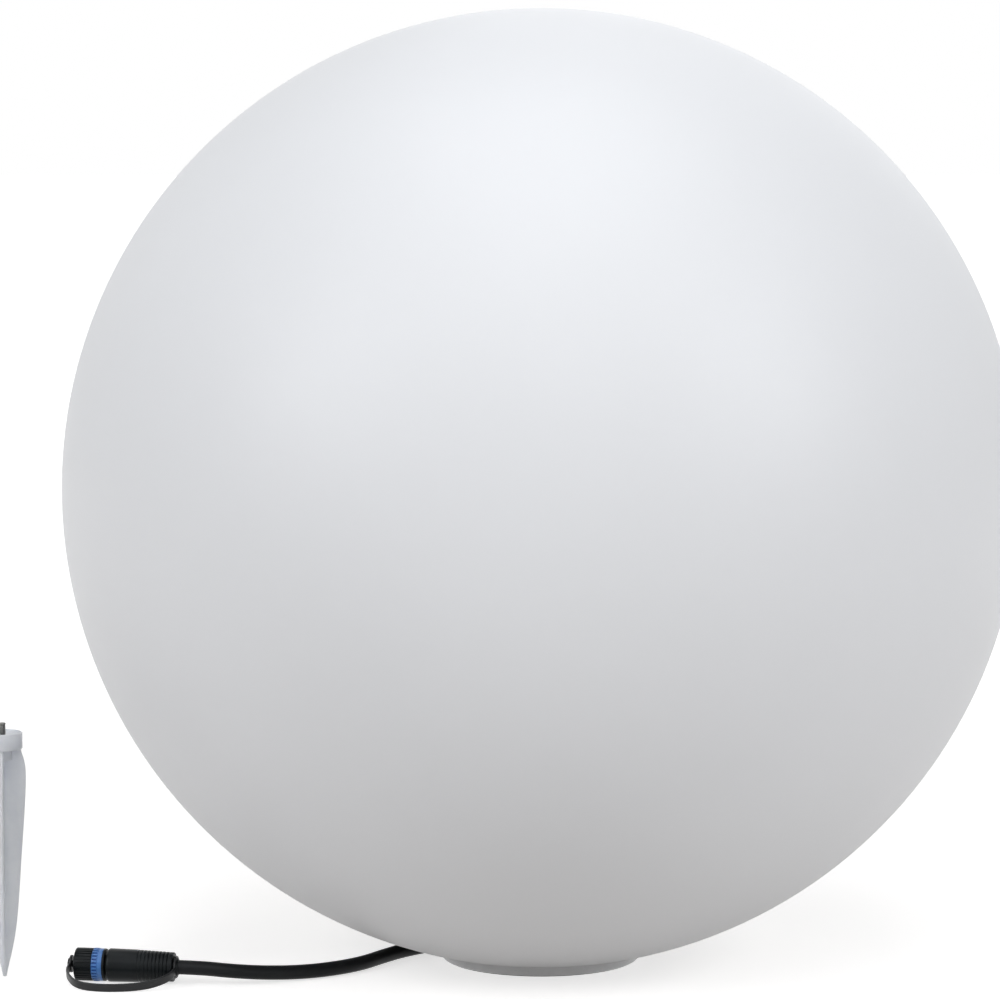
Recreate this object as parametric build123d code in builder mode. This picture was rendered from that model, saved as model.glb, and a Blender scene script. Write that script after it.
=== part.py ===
from build123d import *
import os
from math import acos, asin, cos, degrees, pi, radians, sin, sqrt, tan

# Garden globe light: a hollow opal globe on a low round foot. The foot carries a sealed light unit
# that stands inside the globe, and a short lead that ends in a round plug with a dust cap.
# A ground spike with a threaded stud stands beside the globe.
#
# Frame, in millimetres: +Z up, Z = 0 the surface that everything stands on, and the origin at
# the middle of the foot. The lead and the plug lie on the -X side, a little towards -Y.

# --- globe ------------------------------------------------------------------------------------
globe_radius = 250.0
globe_wall = 3.0
globe_opening_radius = 37.0

# --- foot and hub ------------------------------------------------------------------------------
foot_radius = 52.0
foot_height = 5.0
foot_lift = 0.5              # the rubber ring holds the foot this far off the ground
foot_recess = 1.6            # underside inside the foot's rim
foot_floor = 3.6             # upper face of the foot inside the hub
hub_radius = 36.0
hub_wall = 2.8
hub_height = 42.0
pad_inner_radius = 46.5
pad_outer_radius = 50.5
pad_depth = 1.4
gasket_inner_radius = 46.5
gasket_outer_radius = 49.5
gasket_depth = 1.2

# --- screws of the foot -------------------------------------------------------------------------
base_screw_count = 4
base_screw_circle = 41.0     # radius
base_screw_start = 30.0      # degrees
base_boss_radius = 4.4
base_boss_height = 10.0
screw_head_radius = 3.4
screw_head_height = 1.6
screw_radius = 2.0
insert_radius = 2.9

# --- light unit on top of the hub ------------------------------------------------------------------
post_count = 3
post_circle = 29.2           # radius
post_start = 60.0            # degrees
post_radius = 3.4
seal_height = 1.0
heat_sink_height = 3.0
fin_height = 14.0
fin_count = 5
fin_pitch = 6.0
fin_length = 38.0
fin_thickness = 1.5
led_board_radius = 21.5
led_board_height = 1.6
led_chip_size = 3.0
led_chip_height = 0.7
led_rings = ((6, 7.0), (12, 14.0))        # chips on a circle, radius of that circle
led_ring_start = 15.0                     # degrees
led_lead_y = -18.0
led_lead_spacing = 2.4
led_lead_hole_radius = 2.4
lens_radius = 25.2
lens_wall = 1.8
lens_height = 19.0                        # of the dome above its flange
lens_flange_radius = 34.0
lens_flange_height = 1.6
lens_ring_height = 2.4
lens_ring_gap = 0.4
small_screw_radius = 1.5
small_head_radius = 2.6
small_head_height = 1.8

# --- driver inside the hub --------------------------------------------------------------------------
board_level = 18.5           # underside of the driver board
board_radius = 25.0
board_thickness = 1.6
standoff_circle = 20.0       # radius
standoff_start = -60.0       # degrees
standoff_radius = 2.4
standoff_screw_radius = 1.25
standoff_screw_length = 6.0
wire_radius = 0.8
wire_hole_radius = 2.6
terminal_size = (10.0, 7.0, 8.0)
terminal_x = 16.0
terminal_y = -5.0
coil_radius = 5.5
coil_bore_radius = 2.2
coil_height = 7.0
coil_place = (-8.0, -9.0)
capacitor_radius = 3.2
capacitor_height = 8.0
capacitor_places = ((-12.0, 8.0), (-3.0, 13.0))
chip_size = (6.0, 5.0, 1.6)
chip_place = (3.0, -2.0)
spike_boss_radius = 6.0
spike_boss_height = 8.4
spike_insert_length = 8.0
spike_insert_bore = 2.05     # radius

# --- lead ------------------------------------------------------------------------------------------
lead_diameter = 7.5
lead_route = (
    (-187.0, -67.7, 8.65),   # rear face of the plug
    (-175.0, -69.6, 8.65),
    (-159.5, -70.6, 7.20),
    (-142.0, -65.0, 5.10),
    (-124.0, -58.5, 4.10),
    (-107.5, -49.0, 3.90),
    (-93.5, -35.6, 3.85),
    (-83.6, -19.0, 3.85),
    (-73.2, -4.0, 3.95),
    (-60.0, 7.2, 4.40),
    (-45.0, 13.0, 5.40),
    (-31.0, 14.2, 6.90),     # mouth of the strain relief
)
run_share = 0.45             # share of the shorter run that each arc takes
tail_length = 30.0
relief_length = 14.0         # of the taper, up to the pocket's end wall
relief_mouth_radius = 4.7
relief_radius = 5.6
relief_neck_radius = 4.4
relief_lip_radius = 4.9
relief_lip_length = 1.4
channel_root = Vector(-29.8, 17.4, 0)
channel_mouth = Vector(-75.0, -4.0, 0)
channel_width = 14.0
channel_height = 11.0
channel_round = 4.0
pocket_radius = 7.0
pocket_wall = 2.2
pocket_end_wall = 3.0
pocket_lead_in = 12.0
pocket_roof = 17.0
clamp_place = 24.0           # along the tail from its mouth
clamp_length = 6.0
clamp_width = 21.0
clamp_height = 6.0
clamp_screw_spread = 8.0
clamp_post_radius = 2.5

# --- plug, measured from its rear face along its axis ----------------------------------------------
plug_heading = -9.0          # degrees from +X, from the cap towards the lead
plug_neck_radius = 4.5
plug_neck_length = 2.0
plug_length = 36.6
plug_radius = 8.6
plug_waist_radius = 8.4
plug_rear_radius = 7.6
plug_waist = 22.0
flex_groove_count = 9
flex_groove_first = 4.2
flex_groove_pitch = 2.05
flex_groove_width = 0.8
flex_groove_depth = 0.55
barrel_rear = 28.0
barrel_neck_radius = 5.2
ring_rear = 38.1
ring_front = 44.4
ring_radius = 8.65
ring_band_radius = 8.4
ring_bore_radius = 6.3
ring_lip_length = 1.2
ring_ridge_length = 3.3
ring_ridge_count = 28
collar_length = 0.8
collar_radius = 6.7
running_gap = 0.05
barrel_front = 51.4
barrel_radius = 5.9
socket_radius = 4.6
socket_depth = 9.0
seal_place = 48.2
cap_rear = 44.65
cap_front = 53.4
cap_radius = 8.5
cap_bore_radius = 7.0
cap_end_wall = 1.4
cap_rib_count = 30
cap_rib_depth = 0.35
knob_radius = 2.2
knob_head_radius = 3.2
knob_head_length = 1.0
knob_front = 57.6
pin_radius = 0.8
pin_spacing = 3.8
pin_rear = 38.0
pin_front = 49.5
seal_length = 1.4
seal_groove_radius = 5.3
seal_radius = 6.93

# --- tether of the dust cap ---------------------------------------------------------------------------
tether_tilt = 14.5           # degrees that its plane drops from level
tether_width = 4.2
tether_thickness = 1.2
tether_gap = 0.3             # between its rings and what they go round
eyelet_rear = 54.9
eyelet_thickness = 1.3
eyelet_radius = 4.7
rear_ring_rear = 0.3
rear_ring_radius = 5.9
tether_points = (            # along the plug's axis, and out from it
    (0.95, 5.2),
    (0.95, 9.4),
    (10.4, 17.6),
    (24.0, 24.4),
    (44.6, 25.8),
    (53.6, 20.8),
    (56.6, 11.6),
    (55.6, 4.2),
)

# --- ground spike -----------------------------------------------------------------------------------------
spike_x = -278.7
spike_y = -49.4
spike_length = 128.5
spike_head_radius = 10.4
spike_head_height = 8.6
spike_rim = 1.0
spike_recess = 1.2
spike_hub_radius = 5.2
spike_hub_drop = 6.0
spike_skirt_wall = 1.8
spike_skirt_depth = 4.6
blade_top = 124.2
blade_outline = (            # half width, height above the tip
    (8.9, 119.5),
    (11.6, 105.0),
    (9.0, 63.0),
    (6.0, 26.0),
    (0.8, 0.0),
)
blade_top_thickness = 2.5
blade_tip_thickness = 0.9
stud_radius = 2.0
stud_rise = 5.0              # of the stud above the spike's head
stud_chamfer = 0.5
shank_radius = 2.4           # of the stud's knurled end, moulded into the spike
shank_length = 18.8

os.makedirs("parts", exist_ok=True)


def save(builder, name):
    """Label a finished piece and write it under its own name."""
    builder.part.label = name
    export_step(builder.part, f"parts/{name}.step")


# --- places worked out from the sizes -----------------------------------------------------------------------
globe_centre = foot_height + sqrt(globe_radius**2 - foot_radius**2)
globe_floor = foot_height + globe_wall
inner_radius = globe_radius - globe_wall
seat = hub_height + seal_height
led_seat = seat + heat_sink_height

route = [Vector(*point) for point in lead_route]
runs = [b - a for a, b in zip(route, route[1:])]
turns = [a.get_angle(b) for a, b in zip(runs, runs[1:])]
bend_radii = [
    run_share * min(a.length, b.length) / tan(radians(turn / 2))
    for a, b, turn in zip(runs, runs[1:], turns)
]
print("lead runs, mm:", [round(run.length, 1) for run in runs])
print("lead bend radii, mm:", [round(radius, 1) for radius in bend_radii])

# The lead's held end runs straight on from the mouth of the strain relief. In this plane Y is up.
mouth = route[-1]
inward = runs[-1].normalized()
tail_plane = Plane(origin=mouth, x_dir=Vector(0, 0, 1).cross(inward), z_dir=inward)

plug_rear = route[0]
plug_axis = Vector(-cos(radians(plug_heading)), -sin(radians(plug_heading)), 0)
sideways = Vector(sin(radians(plug_heading)), -cos(radians(plug_heading)), 0)
# In this plane X runs from the plug's rear towards its cap, and Y is up.
plug_section = Plane(origin=plug_rear, x_dir=plug_axis, z_dir=plug_axis.cross(Vector(0, 0, 1)))
plug_line = Axis(plug_rear, plug_axis)
# The tether's own plane holds the plug's axis, and its Y leaves sideways and a little down.
tether_way = sideways * cos(radians(tether_tilt)) - Vector(0, 0, sin(radians(tether_tilt)))
tether_plane = Plane(origin=plug_rear, x_dir=plug_axis, z_dir=plug_axis.cross(tether_way))


def plug_plane(distance):
    """Plane square to the plug's axis, this far from its rear face, with Y up."""
    return Plane(
        origin=plug_rear + plug_axis * distance,
        x_dir=Vector(0, 0, 1).cross(plug_axis), z_dir=plug_axis,
    )


# === Globe and foot ===========================================================================================

# The cable channel: a straight groove under the globe and through the foot, open below.
channel_way = channel_mouth - channel_root
channel_plane = Plane(origin=channel_root, x_dir=Vector(0, 0, 1).cross(channel_way), z_dir=channel_way)

with BuildPart() as channel:
    with BuildSketch(channel_plane) as channel_section:
        Rectangle(channel_width, channel_height, align=(Align.CENTER, Align.MIN))
        fillet(channel_section.vertices().group_by(Axis.Y)[-1], channel_round)
    extrude(amount=channel_way.length)

# The globe's moulded wall over the channel. It ends halfway through the globe's own wall.
half_wall = globe_wall / 2
with BuildPart() as channel_roof:
    with BuildSketch(channel_plane) as roof_section:
        Rectangle(
            channel_width + 2 * globe_wall, channel_height + globe_wall,
            align=(Align.CENTER, Align.MIN),
        )
        fillet(roof_section.vertices().group_by(Axis.Y)[-1], channel_round + globe_wall)
    extrude(amount=channel_way.length)
    with Locations((0, 0, globe_centre)):
        Sphere(globe_radius - half_wall, mode=Mode.INTERSECT)
    split(bisect_by=Plane.XY.offset(foot_height + half_wall), keep=Keep.TOP)
    Cylinder(globe_opening_radius + half_wall, globe_radius, mode=Mode.SUBTRACT)

floor_corner_radius = sqrt(inner_radius**2 - (globe_centre - globe_floor)**2)
outer_start = -degrees(acos(foot_radius / globe_radius))
inner_start = -degrees(acos(floor_corner_radius / inner_radius))

with BuildPart() as globe_shell:
    with BuildSketch(Plane.XZ):
        with BuildLine():
            Line((globe_opening_radius, foot_height), (foot_radius, foot_height))
            CenterArc((0, globe_centre), globe_radius, outer_start, 90 - outer_start)
            Line((0, globe_centre + globe_radius), (0, globe_centre + inner_radius))
            CenterArc((0, globe_centre), inner_radius, inner_start, 90 - inner_start)
            Line((floor_corner_radius, globe_floor), (globe_opening_radius, globe_floor))
            Line((globe_opening_radius, globe_floor), (globe_opening_radius, foot_height))
        make_face()
    revolve(axis=Axis.Z)
    add(channel_roof.part)
    with BuildSketch(Plane.XY.offset(globe_floor - 0.5)):
        with PolarLocations(base_screw_circle, base_screw_count, base_screw_start):
            Circle(base_boss_radius)
    extrude(amount=base_boss_height + 0.5)
    with BuildSketch(Plane.XY.offset(globe_floor)):
        with PolarLocations(base_screw_circle, base_screw_count, base_screw_start):
            Circle(insert_radius)
    extrude(amount=base_boss_height, mode=Mode.SUBTRACT)
    with BuildSketch(Plane.XY.offset(foot_height)):
        with PolarLocations(base_screw_circle, base_screw_count, base_screw_start):
            Circle(screw_radius + 0.3)
    extrude(amount=globe_wall, mode=Mode.SUBTRACT)
    add(channel.part, mode=Mode.SUBTRACT)
save(globe_shell, "globe_shell")

# The block in the hub that the lead's pocket is cut from, within the hub's wall.
with BuildPart() as pocket_block:
    with BuildSketch(Plane(origin=(mouth.X, mouth.Y, foot_floor - 0.5), x_dir=(inward.X, inward.Y, 0))):
        with Locations((-pocket_lead_in, 0)):
            Rectangle(
                pocket_lead_in + relief_length + pocket_end_wall,
                2 * (pocket_radius + pocket_wall), align=(Align.MIN, Align.CENTER),
            )
    extrude(amount=pocket_roof - foot_floor + 0.5)
    Cylinder(hub_radius - hub_wall / 2, 2 * hub_height, mode=Mode.INTERSECT)

# The pocket itself, open below.
with BuildPart() as pocket:
    with BuildSketch(tail_plane.offset(-pocket_lead_in)):
        Circle(pocket_radius)
        Rectangle(2 * pocket_radius, 3 * pocket_radius, align=(Align.CENTER, Align.MAX))
    extrude(amount=pocket_lead_in + relief_length)

clamp_plane = tail_plane.offset(clamp_place)
clamp_posts = [
    clamp_plane.origin + clamp_plane.x_dir * side * clamp_screw_spread for side in (-1, 1)
]

with BuildPart() as foot_plate:
    with BuildSketch(Plane.XZ):
        with BuildLine():
            Polyline(
                (0, foot_recess),
                (pad_inner_radius - 1.5, foot_recess),
                (pad_inner_radius - 1.5, foot_lift),
                (pad_inner_radius, foot_lift),
                (pad_inner_radius, foot_lift + pad_depth),
                (pad_outer_radius, foot_lift + pad_depth),
                (pad_outer_radius, foot_lift),
                (foot_radius - 0.5, foot_lift),
                (foot_radius, foot_lift + 0.5),
                (foot_radius, foot_height),
                (gasket_outer_radius, foot_height),
                (gasket_outer_radius, foot_height - gasket_depth),
                (gasket_inner_radius, foot_height - gasket_depth),
                (gasket_inner_radius, foot_height),
                (hub_radius, foot_height),
                (hub_radius, hub_height),
                (hub_radius - hub_wall, hub_height),
                (hub_radius - hub_wall, foot_floor),
                (0, foot_floor),
                close=True,
            )
        make_face()
    revolve(axis=Axis.Z)
    # posts for the lens ring's screws
    with BuildSketch(Plane.XY.offset(foot_floor - 0.5)):
        with PolarLocations(post_circle, post_count, post_start):
            Circle(post_radius)
    extrude(amount=hub_height - foot_floor + 0.5)
    with BuildSketch(Plane.XY.offset(hub_height)):
        with PolarLocations(post_circle, post_count, post_start):
            Circle(small_screw_radius)
    extrude(amount=-10, mode=Mode.SUBTRACT)
    # standoffs for the driver board
    with BuildSketch(Plane.XY.offset(foot_floor - 0.5)):
        with PolarLocations(standoff_circle, 3, standoff_start):
            Circle(standoff_radius)
    extrude(amount=board_level - foot_floor + 0.5)
    with BuildSketch(Plane.XY.offset(board_level)):
        with PolarLocations(standoff_circle, 3, standoff_start):
            Circle(standoff_screw_radius)
    extrude(amount=-standoff_screw_length, mode=Mode.SUBTRACT)
    # boss for the spike's insert
    with BuildSketch(Plane.XY.offset(foot_floor - 0.5)):
        Circle(spike_boss_radius)
    extrude(amount=spike_boss_height + 0.5)
    with BuildSketch(Plane.XY.offset(foot_recess)):
        Circle(insert_radius)
    extrude(amount=spike_insert_length, mode=Mode.SUBTRACT)
    # pocket and channel for the lead
    add(pocket_block.part)
    add(pocket.part, mode=Mode.SUBTRACT)
    add(channel.part, mode=Mode.SUBTRACT)
    with BuildSketch(tail_plane.offset(relief_length - 1)):
        Circle(relief_neck_radius)
    extrude(amount=pocket_end_wall + 2, mode=Mode.SUBTRACT)
    with BuildSketch(tail_plane.offset(relief_length + pocket_end_wall)):
        Circle(relief_lip_radius + 0.4)
    extrude(amount=2 * relief_lip_length, mode=Mode.SUBTRACT)
    # posts beside the lead's held end
    for post in clamp_posts:
        with BuildSketch(Plane(origin=(post.X, post.Y, foot_floor - 0.5))):
            Circle(clamp_post_radius)
        extrude(amount=post.Z - foot_floor + 0.5 - clamp_height / 2)
    # holes for the screws that hold the globe
    with BuildSketch(Plane.XY.offset(foot_recess)):
        with PolarLocations(base_screw_circle, base_screw_count, base_screw_start):
            Circle(screw_head_radius + 0.3)
    extrude(amount=screw_head_height, mode=Mode.SUBTRACT)
    with BuildSketch(Plane.XY.offset(foot_recess)):
        with PolarLocations(base_screw_circle, base_screw_count, base_screw_start):
            Circle(screw_radius + 0.3)
    extrude(amount=foot_height - foot_recess, mode=Mode.SUBTRACT)
save(foot_plate, "foot_plate")

with BuildPart() as foot_ring_pad:
    with BuildSketch():
        Circle(pad_outer_radius)
        Circle(pad_inner_radius, mode=Mode.SUBTRACT)
    extrude(amount=foot_lift + pad_depth)
    add(channel.part, mode=Mode.SUBTRACT)
save(foot_ring_pad, "foot_ring_pad")

with BuildPart() as base_gasket:
    with BuildSketch(Plane.XY.offset(foot_height - gasket_depth)):
        Circle(gasket_outer_radius)
        Circle(gasket_inner_radius, mode=Mode.SUBTRACT)
    extrude(amount=gasket_depth)
    add(channel.part, mode=Mode.SUBTRACT)
save(base_gasket, "base_gasket")

screw_tip = globe_floor + base_boss_height - 3
with BuildPart() as base_screws:
    with BuildSketch(Plane.XY.offset(foot_recess)):
        with PolarLocations(base_screw_circle, base_screw_count, base_screw_start):
            Circle(screw_head_radius)
    extrude(amount=screw_head_height)
    with BuildSketch(Plane.XY.offset(foot_recess + screw_head_height)):
        with PolarLocations(base_screw_circle, base_screw_count, base_screw_start):
            Circle(screw_radius)
    extrude(amount=screw_tip - foot_recess - screw_head_height)
    with BuildSketch(Plane.XY.offset(foot_recess)):
        with PolarLocations(base_screw_circle, base_screw_count, base_screw_start):
            RegularPolygon(screw_head_radius / 2, 6)
    extrude(amount=screw_head_height * 0.7, mode=Mode.SUBTRACT)
save(base_screws, "base_screws")

with BuildPart() as shell_inserts:
    with BuildSketch(Plane.XY.offset(globe_floor)):
        with PolarLocations(base_screw_circle, base_screw_count, base_screw_start):
            Circle(insert_radius)
            Circle(screw_radius, mode=Mode.SUBTRACT)
    extrude(amount=base_boss_height - 2)
save(shell_inserts, "shell_inserts")

with BuildPart() as spike_insert:
    with BuildSketch(Plane.XY.offset(foot_recess)):
        Circle(insert_radius)
        Circle(spike_insert_bore, mode=Mode.SUBTRACT)
    extrude(amount=spike_insert_length)
save(spike_insert, "spike_insert")

# === Lead where it enters the foot ============================================================================

with BuildPart() as lead_tail:
    with BuildSketch(tail_plane):
        Circle(lead_diameter / 2)
    extrude(amount=tail_length)
save(lead_tail, "lead_tail")

with BuildPart() as strain_relief:
    with BuildSketch(tail_plane):
        Circle(relief_mouth_radius)
    with BuildSketch(tail_plane.offset(relief_length)):
        Circle(relief_radius)
    loft()
    with BuildSketch(tail_plane.offset(relief_length)):
        Circle(relief_neck_radius)
    extrude(amount=pocket_end_wall)
    with BuildSketch(tail_plane.offset(relief_length + pocket_end_wall)):
        Circle(relief_lip_radius)
    extrude(amount=relief_lip_length)
    with BuildSketch(tail_plane):
        Circle(lead_diameter / 2)
    extrude(amount=relief_length + pocket_end_wall + relief_lip_length, mode=Mode.SUBTRACT)
save(strain_relief, "strain_relief")

with BuildPart() as cable_clamp:
    with BuildSketch(clamp_plane.offset(-clamp_length / 2)):
        Rectangle(clamp_width, clamp_height, align=(Align.CENTER, Align.MIN))
        Circle(lead_diameter / 2, mode=Mode.SUBTRACT)
    extrude(amount=clamp_length)
    with BuildSketch(Plane(origin=clamp_plane.origin, x_dir=clamp_plane.x_dir, z_dir=clamp_plane.y_dir)):
        with Locations((-clamp_screw_spread, 0), (clamp_screw_spread, 0)):
            Circle(small_screw_radius)
    extrude(amount=clamp_height, mode=Mode.SUBTRACT)
save(cable_clamp, "cable_clamp")

with BuildPart() as clamp_screws:
    with BuildSketch(
        Plane(origin=clamp_plane.origin, x_dir=clamp_plane.x_dir, z_dir=clamp_plane.y_dir)
        .offset(clamp_height)
    ):
        with Locations((-clamp_screw_spread, 0), (clamp_screw_spread, 0)):
            Circle(small_head_radius - 0.3)
    extrude(amount=small_head_height * 0.6)
    with BuildSketch(
        Plane(origin=clamp_plane.origin, x_dir=clamp_plane.x_dir, z_dir=clamp_plane.y_dir)
    ):
        with Locations((-clamp_screw_spread, 0), (clamp_screw_spread, 0)):
            Circle(small_screw_radius)
    extrude(amount=clamp_height)
save(clamp_screws, "clamp_screws")

# Two inner wires, from the lead's end up through a hole in the board to the terminal block.
board_top = board_level + board_thickness
tail_end = tail_plane.offset(tail_length)
wire_hole = (terminal_x, terminal_y + terminal_size[1] / 2 + 4)
wire_entry = board_top + 2.4
wires = (("positive_lead", -1.2, 1.6), ("negative_lead", 1.2, -1.6))
for wire_name, hole_shift, end_shift in wires:
    wire_start = tail_end.origin + tail_end.y_dir * end_shift
    with BuildLine() as wire_line:
        FilletPolyline(
            wire_start,
            wire_start + inward * 5,
            (wire_hole[0] + hole_shift, wire_hole[1], wire_start.Z),
            (wire_hole[0] + hole_shift, wire_hole[1], wire_entry),
            (wire_hole[0] + hole_shift, terminal_y + terminal_size[1] / 2, wire_entry),
            radius=1.6,
        )
    with BuildPart() as wire:
        with BuildSketch(Plane(origin=wire_start, z_dir=inward)):
            Circle(wire_radius)
        sweep(path=wire_line.line)
    save(wire, wire_name)

# === Driver board =============================================================================================

with BuildPart() as driver_board:
    with BuildSketch(Plane.XY.offset(board_level)):
        Circle(board_radius)
        with PolarLocations(standoff_circle, 3, standoff_start):
            Circle(standoff_screw_radius, mode=Mode.SUBTRACT)
        with Locations(wire_hole):
            Circle(wire_hole_radius, mode=Mode.SUBTRACT)
    extrude(amount=board_thickness)
save(driver_board, "driver_board")

with BuildPart() as board_screws:
    with BuildSketch(Plane.XY.offset(board_top)):
        with PolarLocations(standoff_circle, 3, standoff_start):
            Circle(2 * standoff_screw_radius - 0.2)
    extrude(amount=small_head_height * 0.8)
    with BuildSketch(Plane.XY.offset(board_top)):
        with PolarLocations(standoff_circle, 3, standoff_start):
            Circle(standoff_screw_radius)
    extrude(amount=-board_thickness - standoff_screw_length + 1)
save(board_screws, "board_screws")

with BuildPart() as terminal_block:
    with BuildSketch(Plane.XY.offset(board_top)):
        with Locations((terminal_x, terminal_y)):
            Rectangle(terminal_size[0], terminal_size[1])
    extrude(amount=terminal_size[2])
    fillet(terminal_block.edges().filter_by(Axis.Z), 0.8)
    with BuildSketch(Plane.XY.offset(board_top + terminal_size[2])):
        with Locations((terminal_x, terminal_y)), GridLocations(terminal_size[0] / 2, 1, 2, 1):
            Circle(1.4)
    extrude(amount=-2, mode=Mode.SUBTRACT)
save(terminal_block, "terminal_block")

with BuildPart() as driver_coil:
    with BuildSketch(Plane.XY.offset(board_top)):
        with Locations(coil_place):
            Circle(coil_radius)
            Circle(coil_bore_radius, mode=Mode.SUBTRACT)
    extrude(amount=coil_height)
    fillet(driver_coil.edges().group_by(Axis.Z)[-1], 0.8)
save(driver_coil, "driver_coil")

with BuildPart() as driver_capacitors:
    with BuildSketch(Plane.XY.offset(board_top)):
        with Locations(*capacitor_places):
            Circle(capacitor_radius)
    extrude(amount=capacitor_height)
    fillet(driver_capacitors.edges().group_by(Axis.Z)[-1], 0.5)
save(driver_capacitors, "driver_capacitors")

with BuildPart() as driver_chip:
    with BuildSketch(Plane.XY.offset(board_top)):
        with Locations(chip_place):
            Rectangle(chip_size[0], chip_size[1])
    extrude(amount=chip_size[2])
save(driver_chip, "driver_chip")

# === Light unit on top of the hub =============================================================================

with BuildPart() as hub_seal:
    with BuildSketch(Plane.XY.offset(hub_height)):
        Circle(hub_radius)
        Circle(hub_radius - hub_wall, mode=Mode.SUBTRACT)
    extrude(amount=seal_height)
save(hub_seal, "hub_seal")

with BuildPart() as heat_sink:
    with BuildSketch(Plane.XY.offset(seat)):
        Circle(hub_radius)
    extrude(amount=heat_sink_height)
    with BuildSketch(Plane.XY.offset(seat)):
        with GridLocations(1, fin_pitch, 1, fin_count):
            Rectangle(fin_length, fin_thickness)
    extrude(amount=-fin_height)
    with BuildSketch(Plane.XY.offset(seat)):
        with PolarLocations(post_circle, post_count, post_start):
            Circle(small_screw_radius + 0.2)
        with Locations((0, led_lead_y)):
            Circle(led_lead_hole_radius)
    extrude(amount=heat_sink_height, mode=Mode.SUBTRACT)
save(heat_sink, "heat_sink")

with BuildPart() as led_board:
    with BuildSketch(Plane.XY.offset(led_seat)):
        Circle(led_board_radius)
        with Locations((0, led_lead_y)):
            Circle(led_lead_hole_radius, mode=Mode.SUBTRACT)
    extrude(amount=led_board_height)
save(led_board, "led_board")

led_top = led_seat + led_board_height
with BuildPart() as led_chips:
    with BuildSketch(Plane.XY.offset(led_top)):
        Rectangle(led_chip_size, led_chip_size)
        for chip_count, chip_circle in led_rings:
            with PolarLocations(chip_circle, chip_count, led_ring_start):
                Rectangle(led_chip_size, led_chip_size)
    extrude(amount=led_chip_height)
save(led_chips, "led_chips")

led_lead_top = led_top + wire_radius
with BuildPart() as led_leads:
    for side in (-0.5, 0.5):
        with BuildLine() as led_lead_line:
            FilletPolyline(
                (side * led_lead_spacing, led_lead_y, board_top),
                (side * led_lead_spacing, led_lead_y, led_lead_top),
                (side * led_lead_spacing, led_lead_y + 4, led_lead_top),
                radius=1.2,
            )
        with BuildSketch(Plane(origin=(side * led_lead_spacing, led_lead_y, board_top))):
            Circle(wire_radius)
        sweep(path=led_lead_line.line)
save(led_leads, "led_leads")

# The lens is a flange with a domed cap; both faces of the dome share one centre.
lens_foot = led_seat + lens_flange_height
lens_sphere = (lens_radius**2 + lens_height**2) / (2 * lens_height)
lens_centre = lens_foot + lens_height - lens_sphere
lens_start = degrees(asin((lens_foot - lens_centre) / lens_sphere))
lens_inner_sphere = lens_sphere - lens_wall
lens_inner_start = degrees(asin((lens_foot - lens_centre) / lens_inner_sphere))
lens_inner_radius = lens_inner_sphere * cos(radians(lens_inner_start))
with BuildPart() as lens_dome:
    with BuildSketch(Plane.XZ):
        with BuildLine():
            Polyline(
                (lens_inner_radius, lens_foot),
                (lens_inner_radius, led_seat),
                (lens_flange_radius, led_seat),
                (lens_flange_radius, lens_foot),
                (lens_radius, lens_foot),
            )
            CenterArc((0, lens_centre), lens_sphere, lens_start, 90 - lens_start)
            Line((0, lens_centre + lens_sphere), (0, lens_centre + lens_inner_sphere))
            CenterArc((0, lens_centre), lens_inner_sphere, lens_inner_start, 90 - lens_inner_start)
        make_face()
    revolve(axis=Axis.Z)
    with BuildSketch(Plane.XY.offset(led_seat)):
        with PolarLocations(post_circle, post_count, post_start):
            Circle(small_screw_radius + 0.2)
    extrude(amount=lens_flange_height, mode=Mode.SUBTRACT)
save(lens_dome, "lens_dome")

with BuildPart() as lens_ring:
    with BuildSketch(Plane.XY.offset(lens_foot)):
        Circle(lens_flange_radius)
        Circle(lens_radius + lens_ring_gap, mode=Mode.SUBTRACT)
        with PolarLocations(post_circle, post_count, post_start):
            Circle(small_screw_radius + 0.2, mode=Mode.SUBTRACT)
    extrude(amount=lens_ring_height)
    chamfer(lens_ring.edges().group_by(Axis.Z)[-1].sort_by(SortBy.LENGTH)[-1], 0.8)
save(lens_ring, "lens_ring")

lens_ring_top = lens_foot + lens_ring_height
with BuildPart() as lens_screws:
    with BuildSketch(Plane.XY.offset(lens_ring_top)):
        with PolarLocations(post_circle, post_count, post_start):
            Circle(small_head_radius)
    extrude(amount=small_head_height)
    fillet(lens_screws.edges().group_by(Axis.Z)[-1], 0.5)
    with BuildSketch(Plane.XY.offset(lens_ring_top)):
        with PolarLocations(post_circle, post_count, post_start):
            Circle(small_screw_radius)
    extrude(amount=hub_height - 9 - lens_ring_top)
save(lens_screws, "lens_screws")

# === Free lead and plug =======================================================================================

with BuildLine() as lead_line:
    FilletPolyline(*route, radius=bend_radii)
with BuildPart() as lead_cable:
    with BuildSketch(Plane(origin=plug_rear, z_dir=runs[0])):
        Circle(lead_diameter / 2)
    sweep(path=lead_line.line)
lead_length = sum(edge.length for edge in lead_line.edges())
lead_section = pi * lead_diameter**2 / 4
print("lead length, mm:", round(lead_length, 1))
print("lead volume over section times length:", round(lead_cable.part.volume / lead_section / lead_length, 4))
save(lead_cable, "lead_cable")

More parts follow.
